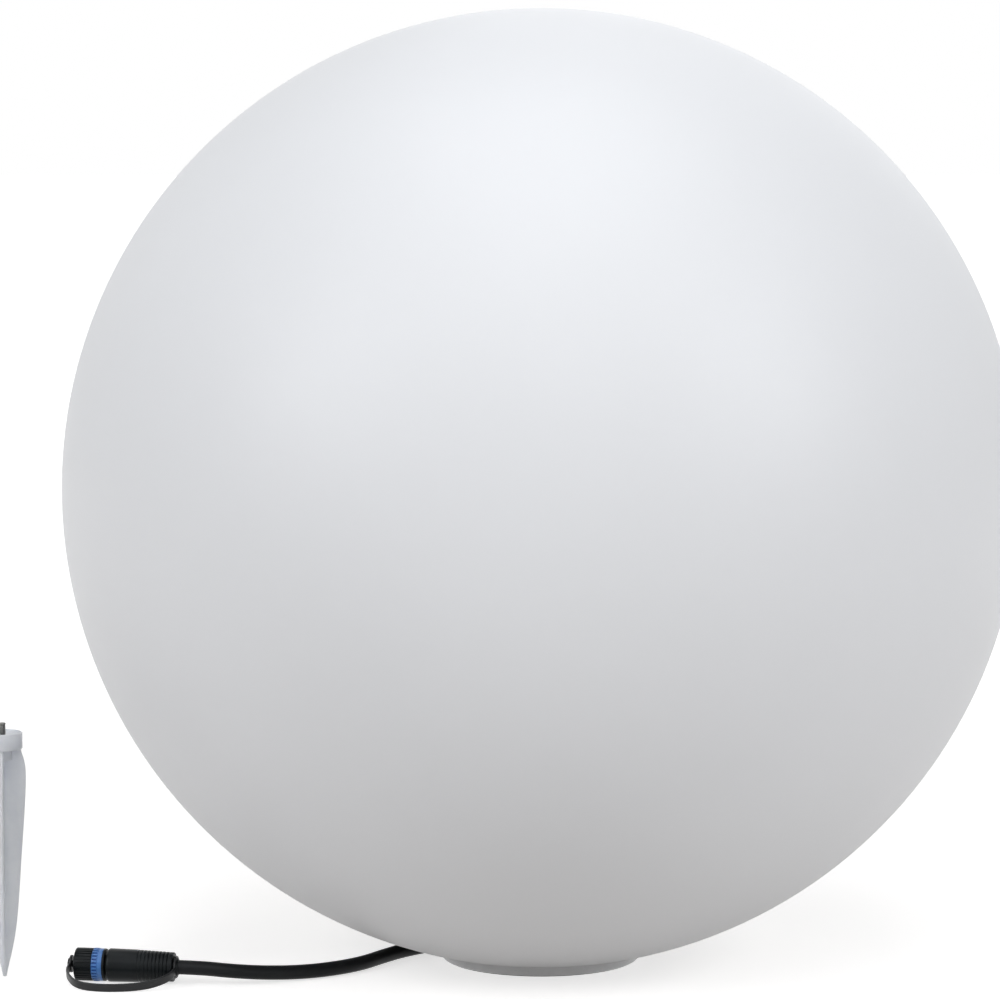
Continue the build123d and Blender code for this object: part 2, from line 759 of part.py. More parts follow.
with BuildPart() as plug_body:
    with BuildSketch(plug_section):
        with BuildLine():
            Polyline(
                (0, 0),
                (0, plug_neck_radius),
                (plug_neck_length, plug_neck_radius),
                (plug_neck_length, plug_rear_radius - 0.7),
                (plug_neck_length + 0.7, plug_rear_radius),
                (plug_waist, plug_waist_radius),
                (plug_length - 1.2, plug_radius),
            )
            JernArc((plug_length - 1.2, plug_radius), (1, 0), 1.2, -90)
            Polyline(
                (plug_length, plug_radius - 1.2),
                (plug_length, barrel_neck_radius),
                (barrel_rear, barrel_neck_radius),
                (barrel_rear, 0),
                (0, 0),
            )
        make_face()
    revolve(axis=plug_line)
    # flex grooves
    for groove in range(flex_groove_count):
        with BuildSketch(plug_plane(flex_groove_first + groove * flex_groove_pitch)):
            Circle(plug_radius + 1)
            Circle(plug_rear_radius - flex_groove_depth + 0.03 * groove, mode=Mode.SUBTRACT)
        extrude(amount=flex_groove_width, mode=Mode.SUBTRACT)
save(plug_body, "plug_body")

with BuildPart() as plug_barrel:
    with BuildSketch(plug_section):
        with BuildLine():
            Polyline(
                (barrel_rear, 0),
                (barrel_rear, barrel_neck_radius),
                (ring_rear + ring_lip_length + running_gap, barrel_neck_radius),
                (ring_rear + ring_lip_length + running_gap, ring_bore_radius - running_gap),
                (ring_front + running_gap, ring_bore_radius - running_gap),
                (ring_front + running_gap, collar_radius),
                (ring_front + running_gap + collar_length, collar_radius),
                (ring_front + running_gap + collar_length, barrel_radius),
                (seal_place - seal_length / 2, barrel_radius),
                (seal_place - seal_length / 2, seal_groove_radius),
                (seal_place + seal_length / 2, seal_groove_radius),
                (seal_place + seal_length / 2, barrel_radius),
                (barrel_front - 0.4, barrel_radius),
                (barrel_front, barrel_radius - 0.4),
                (barrel_front, socket_radius),
                (barrel_front - socket_depth, socket_radius),
                (barrel_front - socket_depth, 0),
                close=True,
            )
        make_face()
    revolve(axis=plug_line)
    with BuildSketch(plug_plane(pin_rear)):
        with GridLocations(1, pin_spacing, 1, 2):
            Circle(pin_radius)
    extrude(amount=barrel_front - socket_depth - pin_rear, mode=Mode.SUBTRACT)
save(plug_barrel, "plug_barrel")

with BuildPart() as contact_pins:
    with BuildSketch(plug_plane(pin_rear)):
        with GridLocations(1, pin_spacing, 1, 2):
            Circle(pin_radius)
    extrude(amount=pin_front - pin_rear)
save(contact_pins, "contact_pins")

with BuildPart() as barrel_seal:
    with BuildSketch(plug_plane(seal_place - seal_length / 2)):
        Circle(seal_radius)
        Circle(seal_groove_radius, mode=Mode.SUBTRACT)
    extrude(amount=seal_length)
save(barrel_seal, "barrel_seal")

ridge_rear = ring_front - ring_ridge_length
with BuildPart() as coupling_ring:
    with BuildSketch(plug_section):
        with BuildLine():
            Polyline(
                (ring_rear, barrel_neck_radius + running_gap),
                (ring_rear, ring_band_radius - 0.8),
                (ring_rear + 0.8, ring_band_radius),
                (ridge_rear, ring_band_radius),
                (ridge_rear, ring_radius),
                (ring_front, ring_radius),
                (ring_front, ring_bore_radius),
                (ring_rear + ring_lip_length, ring_bore_radius),
                (ring_rear + ring_lip_length, barrel_neck_radius + running_gap),
                close=True,
            )
        make_face()
    revolve(axis=plug_line)
    with BuildSketch(plug_plane(ridge_rear)):
        with PolarLocations(ring_radius + 0.2, ring_ridge_count):
            Rectangle(1.0, 0.9)
    extrude(amount=ring_ridge_length, mode=Mode.SUBTRACT)
save(coupling_ring, "coupling_ring")

with BuildPart() as dust_cap:
    with BuildSketch(plug_section):
        with BuildLine():
            Polyline(
                (cap_rear, cap_bore_radius),
                (cap_rear, cap_radius),
                (cap_front - 0.5, cap_radius),
                (cap_front, cap_radius - 0.5),
                (cap_front, knob_radius),
                (knob_front - knob_head_length, knob_radius),
                (knob_front - knob_head_length, knob_head_radius),
                (knob_front - 0.4, knob_head_radius),
                (knob_front, knob_head_radius - 0.5),
                (knob_front, 0),
                (cap_front - cap_end_wall, 0),
                (cap_front - cap_end_wall, cap_bore_radius),
                close=True,
            )
        make_face()
    revolve(axis=plug_line)
    with BuildSketch(plug_plane(cap_rear)):
        with PolarLocations(cap_radius + 0.35 - cap_rib_depth, cap_rib_count):
            Rectangle(0.7, 0.9)
    extrude(amount=cap_front - cap_rear, mode=Mode.SUBTRACT)
save(dust_cap, "dust_cap")

with BuildPart() as cap_tether:
    with BuildSketch(plug_plane(rear_ring_rear)):
        Circle(rear_ring_radius)
        Circle(plug_neck_radius + tether_gap, mode=Mode.SUBTRACT)
    extrude(amount=eyelet_thickness)
    with BuildSketch(plug_plane(eyelet_rear)):
        Circle(eyelet_radius)
        Circle(knob_radius + tether_gap, mode=Mode.SUBTRACT)
    extrude(amount=eyelet_thickness)
    with BuildSketch(tether_plane):
        with BuildLine():
            FilletPolyline(*tether_points, radius=2.5)
        trace(line_width=tether_thickness)
    extrude(amount=tether_width / 2, both=True)
save(cap_tether, "cap_tether")

# === Ground spike =============================================================================================

spike_place = Vector(spike_x, spike_y, 0)
spike_front_plane = Plane(origin=spike_place, x_dir=(1, 0, 0), z_dir=(0, -1, 0))
spike_side_plane = Plane(origin=spike_place, x_dir=(0, 1, 0), z_dir=(1, 0, 0))
spike_head_base = spike_length - spike_head_height

# One blade: its outline seen from the front, cut to a wedge seen from the side.
with BuildPart() as blade:
    with BuildSketch(spike_front_plane):
        with BuildLine():
            Line((0, 0), (blade_outline[-1][0], 0))
            Spline(*blade_outline)
            Line(blade_outline[0], (blade_outline[0][0], blade_top))
            Line((blade_outline[0][0], blade_top), (0, blade_top))
            Line((0, blade_top), (0, 0))
        make_face()
        mirror(about=Plane.YZ)
    extrude(amount=blade_top_thickness, both=True)
    with BuildSketch(spike_side_plane):
        with BuildLine():
            Polyline(
                (-blade_tip_thickness / 2, 0),
                (blade_tip_thickness / 2, 0),
                (blade_top_thickness / 2, blade_top),
                (-blade_top_thickness / 2, blade_top),
                close=True,
            )
        make_face()
    extrude(amount=2 * spike_head_radius, both=True, mode=Mode.INTERSECT)

with BuildPart() as spike_body:
    with BuildSketch(Plane(origin=spike_place + Vector(0, 0, spike_head_base))):
        Circle(spike_head_radius)
    extrude(amount=spike_head_height)
    fillet(spike_body.edges().group_by(Axis.Z)[-1], 0.3)
    with BuildSketch(Plane(origin=spike_place + Vector(0, 0, spike_length))):
        Circle(spike_head_radius - spike_rim)
    extrude(amount=-spike_recess, mode=Mode.SUBTRACT)
    with BuildSketch(Plane(origin=spike_place + Vector(0, 0, spike_head_base))):
        Circle(spike_head_radius - spike_skirt_wall)
        Circle(spike_hub_radius, mode=Mode.SUBTRACT)
    extrude(amount=spike_skirt_depth, mode=Mode.SUBTRACT)
    with BuildSketch(Plane(origin=spike_place + Vector(0, 0, spike_head_base - spike_hub_drop))):
        Circle(spike_hub_radius)
    extrude(amount=spike_hub_drop)
    add(blade.part)
    add(blade.part.rotate(Axis(spike_place, (0, 0, 1)), 90))
    with BuildSketch(Plane(origin=spike_place + Vector(0, 0, spike_length - spike_recess))):
        Circle(shank_radius)
    extrude(amount=-shank_length, mode=Mode.SUBTRACT)
save(spike_body, "spike_body")

with BuildPart() as spike_stud:
    with BuildSketch(Plane(origin=spike_place + Vector(0, 0, spike_length - spike_recess))):
        Circle(stud_radius)
    extrude(amount=spike_recess + stud_rise)
    chamfer(spike_stud.edges().group_by(Axis.Z)[-1], stud_chamfer)
    with BuildSketch(Plane(origin=spike_place + Vector(0, 0, spike_length - spike_recess))):
        Circle(shank_radius)
    extrude(amount=-shank_length)
save(spike_stud, "spike_stud")
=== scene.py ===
"""Garden globe light: the dressed model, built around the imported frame."""

import logging
from dataclasses import dataclass, field
from enum import Enum
from math import asin, cos, pi, radians, sin, sqrt
from typing import Iterable, Sequence

import bmesh
import bpy
from mathutils import Matrix, Vector


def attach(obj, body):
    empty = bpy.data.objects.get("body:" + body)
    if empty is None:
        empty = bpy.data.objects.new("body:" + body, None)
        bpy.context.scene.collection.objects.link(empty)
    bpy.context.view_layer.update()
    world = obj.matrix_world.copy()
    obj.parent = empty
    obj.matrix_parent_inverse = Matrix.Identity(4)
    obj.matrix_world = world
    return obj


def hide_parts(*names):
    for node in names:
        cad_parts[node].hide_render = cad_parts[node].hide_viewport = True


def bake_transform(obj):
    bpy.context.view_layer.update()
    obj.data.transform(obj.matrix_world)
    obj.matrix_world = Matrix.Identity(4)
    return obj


LOG = logging.getLogger("globe_light")
MM = 0.001
WHITE = (1.0, 1.0, 1.0)
JACKET = (0.0075, 0.0085, 0.0095)
Triple = tuple[float, float, float]
Colour = Triple
Point = tuple[float, float]
Piece = bpy.types.Object
Material = bpy.types.Material


class Body(str, Enum):
    """Bodies of the frame that pieces ride on."""

    LIGHT = "globe_light"
    CAP = "dust_cap"
    RING = "coupling_ring"
    SPIKE = "spike"


# === Shader nodes ===


class Flow:
    """An output socket, with operators that add Math nodes."""

    def __init__(self, nodes: "Nodes", socket: bpy.types.NodeSocket) -> None:
        """Wraps the socket.

        Args:
            nodes: The tree that it is in.
            socket: The socket.
        """
        self.nodes = nodes
        self.socket = socket

    def call(self, operation: str, *others: "Flow | float") -> "Flow":
        """Adds a Math node on this value.

        Args:
            operation: The node's operation, such as SINE.
            others: Its further inputs.

        Returns:
            The node's output.
        """
        return self.nodes.add("Math", {"operation": operation}, dict(enumerate((self, *others))))

    def __add__(self, other: "Flow | float") -> "Flow":
        """Sum."""
        return self.call("ADD", other)

    __radd__ = __add__

    def __sub__(self, other: "Flow | float") -> "Flow":
        """Difference."""
        return self.call("SUBTRACT", other)

    def __rsub__(self, other: float) -> "Flow":
        """Difference, with the number first."""
        return self.nodes.add("Math", {"operation": "SUBTRACT"}, {0: other, 1: self})

    def __mul__(self, other: "Flow | float") -> "Flow":
        """Product."""
        return self.call("MULTIPLY", other)

    def step(self, low: float, high: float) -> "Flow":
        """A smooth step from 0 at low to 1 at high.

        Args:
            low: Where it leaves 0.
            high: Where it reaches 1.

        Returns:
            The mask.
        """
        settings = {"interpolation_type": "SMOOTHSTEP"}
        inputs = {"Value": self, "From Min": low, "From Max": high}
        return self.nodes.add("MapRange", settings, inputs, "Result")


class Nodes:
    """A node tree in the making."""

    def __init__(self, tree: bpy.types.NodeTree) -> None:
        """Empties the tree.

        Args:
            tree: The tree.
        """
        self.tree = tree
        self.tree.nodes.clear()

    def add(
        self,
        kind: str,
        settings: dict[str, object] | None = None,
        inputs: dict[int | str, object] | None = None,
        output: int | str = 0,
    ) -> Flow:
        """Adds a node: its settings first, then its sockets.

        Args:
            kind: The node's type, without ShaderNode.
            settings: Properties to set.
            inputs: Values or Flows for sockets, by name or number.
            output: The socket to return.

        Returns:
            The chosen output.
        """
        node = self.tree.nodes.new("ShaderNode" + kind)
        for key, value in (settings or {}).items():
            setattr(node, key, value)
        for key, value in (inputs or {}).items():
            self.put(node.inputs[key], value)
        return Flow(self, node.outputs[output])

    def put(self, socket: bpy.types.NodeSocket, value: object) -> None:
        """Links a Flow to a socket, or sets the socket's value.

        Args:
            socket: The input.
            value: A Flow, a number, a colour or a vector.
        """
        if isinstance(value, Flow):
            self.tree.links.new(value.socket, socket)
        elif socket.type == "RGBA" and len(value) == 3:
            socket.default_value = (*value, 1.0)
        else:
            socket.default_value = value

    def seen(self) -> Flow:
        """Which rays show a thing, rather than light by it.

        Returns:
            1 for camera, glossy and transmission rays, otherwise 0.
        """
        rays = self.add("LightPath", None, None, "Is Camera Ray")
        outputs = rays.socket.node.outputs
        total = rays + Flow(self, outputs["Is Glossy Ray"]) + Flow(self, outputs["Is Transmission Ray"])
        return total.call("MINIMUM", 1.0)


class Paint(Nodes):
    """One procedural material on a Principled shader."""

    def __init__(self, name: str) -> None:
        """Starts a material.

        Args:
            name: The material's name.
        """
        self.material = bpy.data.materials.new(name)
        self.material.use_nodes = True
        super().__init__(self.material.node_tree)
        self.shader = self.tree.nodes.new("ShaderNodeBsdfPrincipled")
        output = self.tree.nodes.new("ShaderNodeOutputMaterial")
        self.tree.links.new(self.shader.outputs["BSDF"], output.inputs["Surface"])

    def set(self, **sockets: object) -> "Paint":
        """Sets the shader's sockets; an underscore in a name stands for a space.

        Args:
            sockets: Values by socket.

        Returns:
            The paint itself.
        """
        for key, value in sockets.items():
            self.put(self.shader.inputs[key.replace("_", " ")], value)
        return self

    def place(self, centre: Sequence[float] = (0, 0, 0), size: Sequence[float] = (1, 1, 1)) -> Flow:
        """Object coordinates in millimetres, moved onto a piece.

        Args:
            centre: The piece's centre in metres.
            size: A further scale.

        Returns:
            The vector.
        """
        raw = self.add("TexCoord", None, None, "Object")
        moved = self.add("VectorMath", {"operation": "SUBTRACT"}, {0: raw, 1: tuple(centre)}, "Vector")
        scaled = tuple(part / MM for part in size)
        return self.add("Mapping", {"vector_type": "POINT"}, {"Vector": moved, "Scale": scaled})

    def noise(self, vector: Flow, scale: float, detail: float = 3.0, rough: float = 0.55) -> Flow:
        """Noise from 0 to 1.

        Args:
            vector: Where it is read.
            scale: Cells in one unit of the vector.
            detail: Octaves.
            rough: How strong the finer octaves are.

        Returns:
            The value.
        """
        inputs = {"Vector": vector, "Scale": scale, "Detail": detail, "Roughness": rough}
        return self.add("TexNoise", {"noise_dimensions": "3D"}, inputs)

    def cells(self, vector: Flow, scale: float) -> Flow:
        """Distance to the nearest cell point.

        Args:
            vector: Where it is read.
            scale: Cells in one unit of the vector.

        Returns:
            The distance.
        """
        return self.add("TexVoronoi", {"feature": "F1"}, {"Vector": vector, "Scale": scale}, "Distance")

    def mix(self, factor: Flow | float, first: object, second: object) -> Flow:
        """Mixes two colours.

        Args:
            factor: Share of the second.
            first: A colour or a Flow.
            second: A colour or a Flow.

        Returns:
            The colour.
        """
        node = self.tree.nodes.new("ShaderNodeMix")
        node.data_type = "RGBA"
        self.put(node.inputs[0], factor)
        self.put(node.inputs[6], first)
        self.put(node.inputs[7], second)
        return Flow(self, node.outputs[2])

    def bump(self, height: Flow, distance: float, strength: float = 1.0) -> "Paint":
        """Gives the shader a bump.

        Args:
            height: The height, from 0 to 1.
            distance: What 1 stands for, in millimetres.
            strength: The bump's strength.

        Returns:
            The paint itself.
        """
        inputs = {"Height": height, "Distance": distance * MM, "Strength": strength}
        normal = self.add("Bump", None, inputs, "Normal")
        return self.set(Normal=normal)


def toned(colour: Colour, factor: float) -> Colour:
    """A colour made lighter or darker."""
    return tuple(min(part * factor, 1.0) for part in colour)


# === Finishes ===


@dataclass(frozen=True)
class Finish:
    """A procedural material. Noise scales are cells per millimetre, and bump distances are millimetres."""

    name: str

    def make(self) -> Material:
        """Builds the material.

        Returns:
            The material.
        """
        paint = Paint(self.name)
        self.lay(paint)
        return paint.material

    def lay(self, paint: Paint) -> None:
        """Adds the finish's nodes.

        Args:
            paint: The material in the making.
        """
        raise NotImplementedError


@dataclass(frozen=True)
class OpalFinish(Finish):
    """Satin opal polyethylene with a faint moulded grain."""

    name: str = "opal_polyethylene"
    colour: Colour = (0.797, 0.80, 0.806)
    roughness: float = 0.46

    def lay(self, paint: Paint) -> None:
        """Adds the finish's nodes."""
        place = paint.place()
        cloud = paint.noise(place, 0.012, 4.0, 0.5)
        fine = paint.noise(place, 0.9, 3.0, 0.6)
        peel = paint.noise(place, 0.22, 2.0, 0.5)
        tone = paint.mix(cloud.step(0.3, 0.72) * 0.35, self.colour, toned(self.colour, 0.975))
        paint.set(Base_Color=tone, Roughness=self.roughness + (fine - 0.5) * 0.1 + (cloud - 0.5) * 0.08)
        paint.set(Specular_IOR_Level=0.42, IOR=1.5)
        paint.bump(peel * 0.6 + fine * 0.4, 0.05, 0.55)


@dataclass(frozen=True)
class MouldedFinish(Finish):
    """Moulded plastic with a spark-eroded grain and a little dust in it."""

    colour: Colour
    roughness: float = 0.45
    grain: float = 3.2
    depth: float = 0.03
    variation: float = 0.12
    specular: float = 0.5
    coat: float = 0.0

    def lay(self, paint: Paint) -> None:
        """Adds the finish's nodes."""
        place = paint.place()
        cloud = paint.noise(place, 0.09, 4.0, 0.55)
        grain = paint.noise(place, self.grain, 2.0, 0.6)
        pores = paint.cells(place, self.grain * 0.8)
        dark, light = toned(self.colour, 1 - self.variation), toned(self.colour, 1 + self.variation)
        tone = paint.mix(cloud.step(0.3, 0.7), dark, light)
        tone = paint.mix(grain.step(0.55, 0.8) * 0.25, tone, toned(self.colour, 1.25))
        paint.set(Base_Color=tone, Roughness=self.roughness + (grain - 0.5) * 0.16 + (cloud - 0.5) * 0.1)
        paint.set(Specular_IOR_Level=self.specular, Coat_Weight=self.coat, Coat_Roughness=0.2)
        paint.bump(grain * 0.6 + pores * 0.4, self.depth, 0.7)


@dataclass(frozen=True)
class TranslucentFinish(Finish):
    """Natural translucent plastic of the ground spike, with flow lines along it."""

    name: str = "spike_polypropylene"
    colour: Colour = (0.89, 0.915, 0.975)
    roughness: float = 0.33
    centre: Triple = (-0.2787, -0.0494, 0.0)

    def lay(self, paint: Paint) -> None:
        """Adds the finish's nodes."""
        place = paint.place(self.centre)
        stretched = paint.place(self.centre, size=(1, 1, 0.12))
        flow = paint.noise(stretched, 0.55, 3.0, 0.55)
        cloud = paint.noise(place, 0.06, 3.0, 0.5)
        fine = paint.noise(place, 2.6, 2.0, 0.6)
        tone = paint.mix(cloud.step(0.3, 0.7), toned(self.colour, 0.94), toned(self.colour, 1.04))
        tone = paint.mix(flow.step(0.5, 0.75) * 0.3, tone, toned(self.colour, 1.1))
        paint.set(Base_Color=tone, Roughness=self.roughness + (fine - 0.5) * 0.12 + (flow - 0.5) * 0.1)
        paint.set(Transmission_Weight=0.2, IOR=1.49, Specular_IOR_Level=0.5)
        paint.set(Subsurface_Weight=0.7, Subsurface_Radius=(1.0, 1.0, 1.0), Subsurface_Scale=0.0028)
        paint.bump(flow * 0.5 + fine * 0.5, 0.04, 0.6)


@dataclass(frozen=True)
class MetalFinish(Finish):
    """Bare metal with turning or brushing marks."""

    colour: Colour
    roughness: float = 0.3
    lines: float = 6.0
    tarnish: Colour = (0.25, 0.22, 0.19)
    stain: float = 0.25

    def lay(self, paint: Paint) -> None:
        """Adds the finish's nodes."""
        place = paint.place()
        marks = paint.noise(paint.place(size=(0.15, 0.15, 1.0)), self.lines, 2.0, 0.6)
        cloud = paint.noise(place, 0.35, 4.0, 0.6)
        tone = paint.mix(cloud.step(0.52, 0.78) * self.stain, self.colour, self.tarnish)
        paint.set(Base_Color=tone, Metallic=1.0, Roughness=self.roughness + (marks - 0.5) * 0.18 + (cloud - 0.5) * 0.15)
        paint.bump(marks, 0.01, 0.5)


@dataclass(frozen=True)
class RubberFinish(Finish):
    """Matte rubber or cable jacket with a dusting and a fine grain."""

    colour: Colour
    roughness: float = 0.55
    dust: float = 0.18
    grain: float = 2.4
    specular: float = 0.4

    def lay(self, paint: Paint) -> None:
        """Adds the finish's nodes."""
        place = paint.place()
        cloud = paint.noise(place, 0.14, 4.0, 0.6)
        grain = paint.noise(place, self.grain, 3.0, 0.65)
        tone = paint.mix(cloud.step(0.45, 0.75) * self.dust, self.colour, toned(self.colour, 2.2))
        paint.set(Base_Color=tone, Roughness=self.roughness + (grain - 0.5) * 0.2 + (cloud - 0.5) * 0.12)
        paint.set(Specular_IOR_Level=self.specular)
        paint.bump(grain, 0.03, 0.6)


@dataclass(frozen=True)
class BoardFinish(Finish):
    """Printed board: solder mask over etched tracks, with pads."""

    mask: Colour
    track: Colour
    pad: Colour
    pitch: float = 0.32

    def lay(self, paint: Paint) -> None:
        """Adds the finish's nodes."""
        place = paint.place()
        routes = paint.add(
            "TexBrick",
            {"offset": 0.5, "squash": 1.0},
            {"Vector": place, "Scale": self.pitch, "Mortar Size": 0.06, "Mortar Smooth": 0.1},
            "Fac",
        )
        pads = 1 - paint.cells(place, self.pitch * 0.9).step(0.16, 0.2)
        tone = paint.mix(routes, self.mask, self.track)
        tone = paint.mix(pads, tone, self.pad)
        paint.set(Base_Color=tone, Roughness=0.42 - pads * 0.15, Metallic=pads * 0.8, Specular_IOR_Level=0.5)
        paint.bump(routes * 0.6 + pads * 0.4, 0.04, 0.7)


@dataclass(frozen=True)
class WindingFinish(Finish):
    """Enamelled copper wire wound round an upright core, with painted shade darkening the grooves between the turns."""

    name: str = "coil_winding"
    colour: Colour = (0.42, 0.17, 0.07)
    pitch: float = 0.5

    def lay(self, paint: Paint) -> None:
        """Adds the finish's nodes."""
        height = paint.add("SeparateXYZ", None, {0: paint.place()}, "Z")
        turn = (height * (2 * pi / self.pitch)).call("SINE") * 0.5 + 0.5
        # the base colour darkens towards the valleys between the turns: painted shade in the grooves
        paint.set(Base_Color=paint.mix(turn, toned(self.colour, 0.35), self.colour))
        paint.set(Metallic=0.7, Roughness=0.28 + (1 - turn) * 0.3, Coat_Weight=0.5)
        paint.bump(turn, 0.12, 1.0)


@dataclass(frozen=True)
class FrostedFinish(Finish):
    """Frosted lens plastic."""

    name: str = "frosted_lens"
    colour: Colour = (0.84, 0.85, 0.86)

    def lay(self, paint: Paint) -> None:
        """Adds the finish's nodes."""
        fine = paint.noise(paint.place(), 4.0, 3.0, 0.6)
        paint.set(Base_Color=paint.mix(fine, toned(self.colour, 0.94), self.colour))
        paint.set(Roughness=0.5 + (fine - 0.5) * 0.15, Transmission_Weight=0.5, IOR=1.49)
        paint.bump(fine, 0.02, 0.6)


# === Mesh making ===


def linked(name: str, data: bpy.types.ID) -> Piece:
    """Puts new data into the scene.

    Args:
        name: The object's name.
        data: Its mesh, curve, lamp or camera.

    Returns:
        The object.
    """
    made = bpy.data.objects.new(name, data)
    bpy.context.collection.objects.link(made)
    return made


def frame_of(origin: Sequence[float], axis: Sequence[float], up: Sequence[float] = (0, 0, 1)) -> Matrix:
    """A frame in metres whose Z runs along axis, for shapes made in millimetres.

    Args:
        origin: The frame's origin, in metres.
        axis: Direction of its Z.
        up: Direction that its Y leans to.

    Returns:
        The matrix, with the change of units in it.
    """
    along = Vector(axis).normalized()
    side = Vector(up).cross(along).normalized()
    rise = along.cross(side)
    turn = Matrix((side, rise, along)).transposed().to_4x4()
    return Matrix.Translation(Vector(origin)) @ turn @ Matrix.Scale(MM, 4)


def mark_sharp(bm: bmesh.types.BMesh, smooth: float) -> None:
    """Shades a mesh smooth, apart from its sharp edges.

    Args:
        bm: The mesh.
        smooth: Edges sharper than this many degrees stay sharp.
    """
    bm.normal_update()
    for face in bm.faces:
        face.smooth = True
    for edge in bm.edges:
        edge.smooth = not edge.is_manifold or edge.calc_face_angle(0) < radians(smooth)


def moved(bm: bmesh.types.BMesh, made: dict[str, list], way: Sequence[float]) -> list[bmesh.types.BMVert]:
    """Moves the vertices that an extrusion made.

    Args:
        bm: The mesh.
        made: What the extrusion returned.
        way: How far.

    Returns:
        The vertices.
    """
    fresh = [item for item in made["geom"] if isinstance(item, bmesh.types.BMVert)]
    bmesh.ops.translate(bm, vec=way, verts=fresh)
    return fresh


class Shape:
    """A mesh in the making, in millimetres in its own frame."""

    def __init__(self) -> None:
        """Starts empty."""
        self.bm = bmesh.new()

    def turned(self, profile: Sequence[Triple], steps: int, closed: bool = False) -> "Shape":
        """Turns a profile round Z.

        Args:
            profile: Radius, height and corner rounding of each point.
            steps: Steps of the full turn.
            closed: Whether the last point joins the first.

        Returns:
            The shape.
        """
        made = [self.bm.verts.new((radius, 0, height)) for radius, height, _ in profile]
        for pair in list(zip(made, made[1:])) + ([(made[-1], made[0])] if closed else []):
            self.bm.edges.new(pair)
        for vertex, (_, _, rounding) in zip(made, profile):
            if rounding:
                self.rounded([vertex], rounding, 4)
        bmesh.ops.spin(
            self.bm, geom=list(self.bm.verts) + list(self.bm.edges), cent=(0, 0, 0), axis=(0, 0, 1),
            angle=2 * pi, steps=steps, use_merge=True, use_duplicate=False,
        )
        bmesh.ops.remove_doubles(self.bm, verts=self.bm.verts, dist=0.0004)
        return self

    def rounded(self, vertices: Sequence[bmesh.types.BMVert], offset: float, segments: int) -> None:
        """Rounds corners of an outline.

        Args:
            vertices: The corners.
            offset: The rounding's width.
            segments: Its segments.
        """
        settings = {"affect": "VERTICES", "offset_type": "OFFSET", "profile": 0.5, "material": -1}
        bmesh.ops.bevel(self.bm, geom=vertices, offset=offset, segments=segments, **settings)

    def pushed(self, way: Sequence[float]) -> list[bmesh.types.BMVert]:
        """Pushes all faces out into a solid.

        Args:
            way: How far.

        Returns:
            The vertices of the far side.
        """
        return moved(self.bm, bmesh.ops.extrude_face_region(self.bm, geom=list(self.bm.faces)), way)

    def softened(self) -> None:
        """Bevels the edges sharper than 60 degrees by 0.3 mm."""
        self.bm.normal_update()
        sharp = [e for e in self.bm.edges if e.is_manifold and e.calc_face_angle(0) > radians(60)]
        settings = {"affect": "EDGES", "offset_type": "OFFSET", "profile": 0.5, "material": -1}
        bmesh.ops.bevel(self.bm, geom=sharp, offset=0.3, segments=2, clamp_overlap=True, **settings)

    def ribbed(self, count: int, reach: float, area: float, edge: float, depth: float) -> list[bmesh.types.BMFace]:
        """Sinks gaps between ribs into a side that was turned in four steps to each rib.

        Args:
            count: The number of ribs.
            reach: The side's faces lie beyond this radius.
            area: They are larger than this, in square millimetres.
            edge: Width of the slope round each gap.
            depth: Depth of the gaps.

        Returns:
            The faces in the gaps.
        """
        self.bm.normal_update()
        faces = []
        for face in self.bm.faces:
            centre = face.calc_center_median().xy
            step = int(((centre.angle_signed(Vector((1, 0))) / (2 * pi)) % 1.0) * 4 * count)
            if step % 4 < 2 and centre.length > reach and face.calc_area() > area:
                faces.append(face)
        bmesh.ops.inset_region(self.bm, faces=faces, thickness=edge, depth=-depth, use_even_offset=True)
        return faces

    def finish(
        self, name: str, frame: Matrix | None = None, smooth: float = 40.0, outwards: bool = True
    ) -> Piece:
        """Makes the object, with its place in its mesh.

        Args:
            name: The piece's name.
            frame: From the shape's millimetres to the row frame's metres.
            smooth: Edges sharper than this many degrees stay sharp.
            outwards: Whether the normals are worked out again.

        Returns:
            The object.
        """
        bmesh.ops.transform(self.bm, matrix=frame or Matrix.Scale(MM, 4), verts=self.bm.verts)
        if outwards:
            bmesh.ops.recalc_face_normals(self.bm, faces=self.bm.faces)
        mark_sharp(self.bm, smooth)
        mesh = bpy.data.meshes.new(name)
        self.bm.to_mesh(mesh)
        self.bm.free()
        return linked(name, mesh)


def applied(piece: Piece) -> Piece:
    """Bakes a piece's modifiers, or a curve's bevel, into a plain mesh of the same name.

    Args:
        piece: The piece.

    Returns:
        The mesh object.
    """
    bpy.context.view_layer.update()
    shown = piece.evaluated_get(bpy.context.evaluated_depsgraph_get())
    mesh = bpy.data.meshes.new_from_object(shown)
    mesh.transform(piece.matrix_world)
    name = piece.name
    bpy.data.objects.remove(piece)
    mesh.name = name
    return linked(name, mesh)


def drawn(name: str, points: Iterable[Sequence[float]], resolution: int) -> Piece:
    """A smooth curve from the first point to the last.

    Args:
        name: The curve's name.
        points: Its control points.
        resolution: Steps between two of them.

    Returns:
        The curve object.
    """
    curve = bpy.data.curves.new(name, "CURVE")
    curve.dimensions = "3D"
    places = list(points)
    line = curve.splines.new("NURBS")
    line.points.add(len(places) - 1)
    for point, place in zip(line.points, places):
        point.co = (*place, 1.0)
    line.order_u = 3
    line.use_endpoint_u = True
    line.resolution_u = resolution
    return linked(name, curve)


def joined(piece: Piece, others: list[Piece], operation: str = "UNION") -> Piece:
    """Adds, cuts or meets other solids, which are used up.

    Args:
        piece: The piece that stays.
        others: The solids.
        operation: UNION, DIFFERENCE or INTERSECT.

    Returns:
        The piece.
    """
    for other in others:
        modifier = piece.modifiers.new("joined", "BOOLEAN")
        modifier.operation = operation
        modifier.solver = "EXACT"
        modifier.object = other
    made = applied(piece)
    for other in others:
        bpy.data.objects.remove(other)
    return made


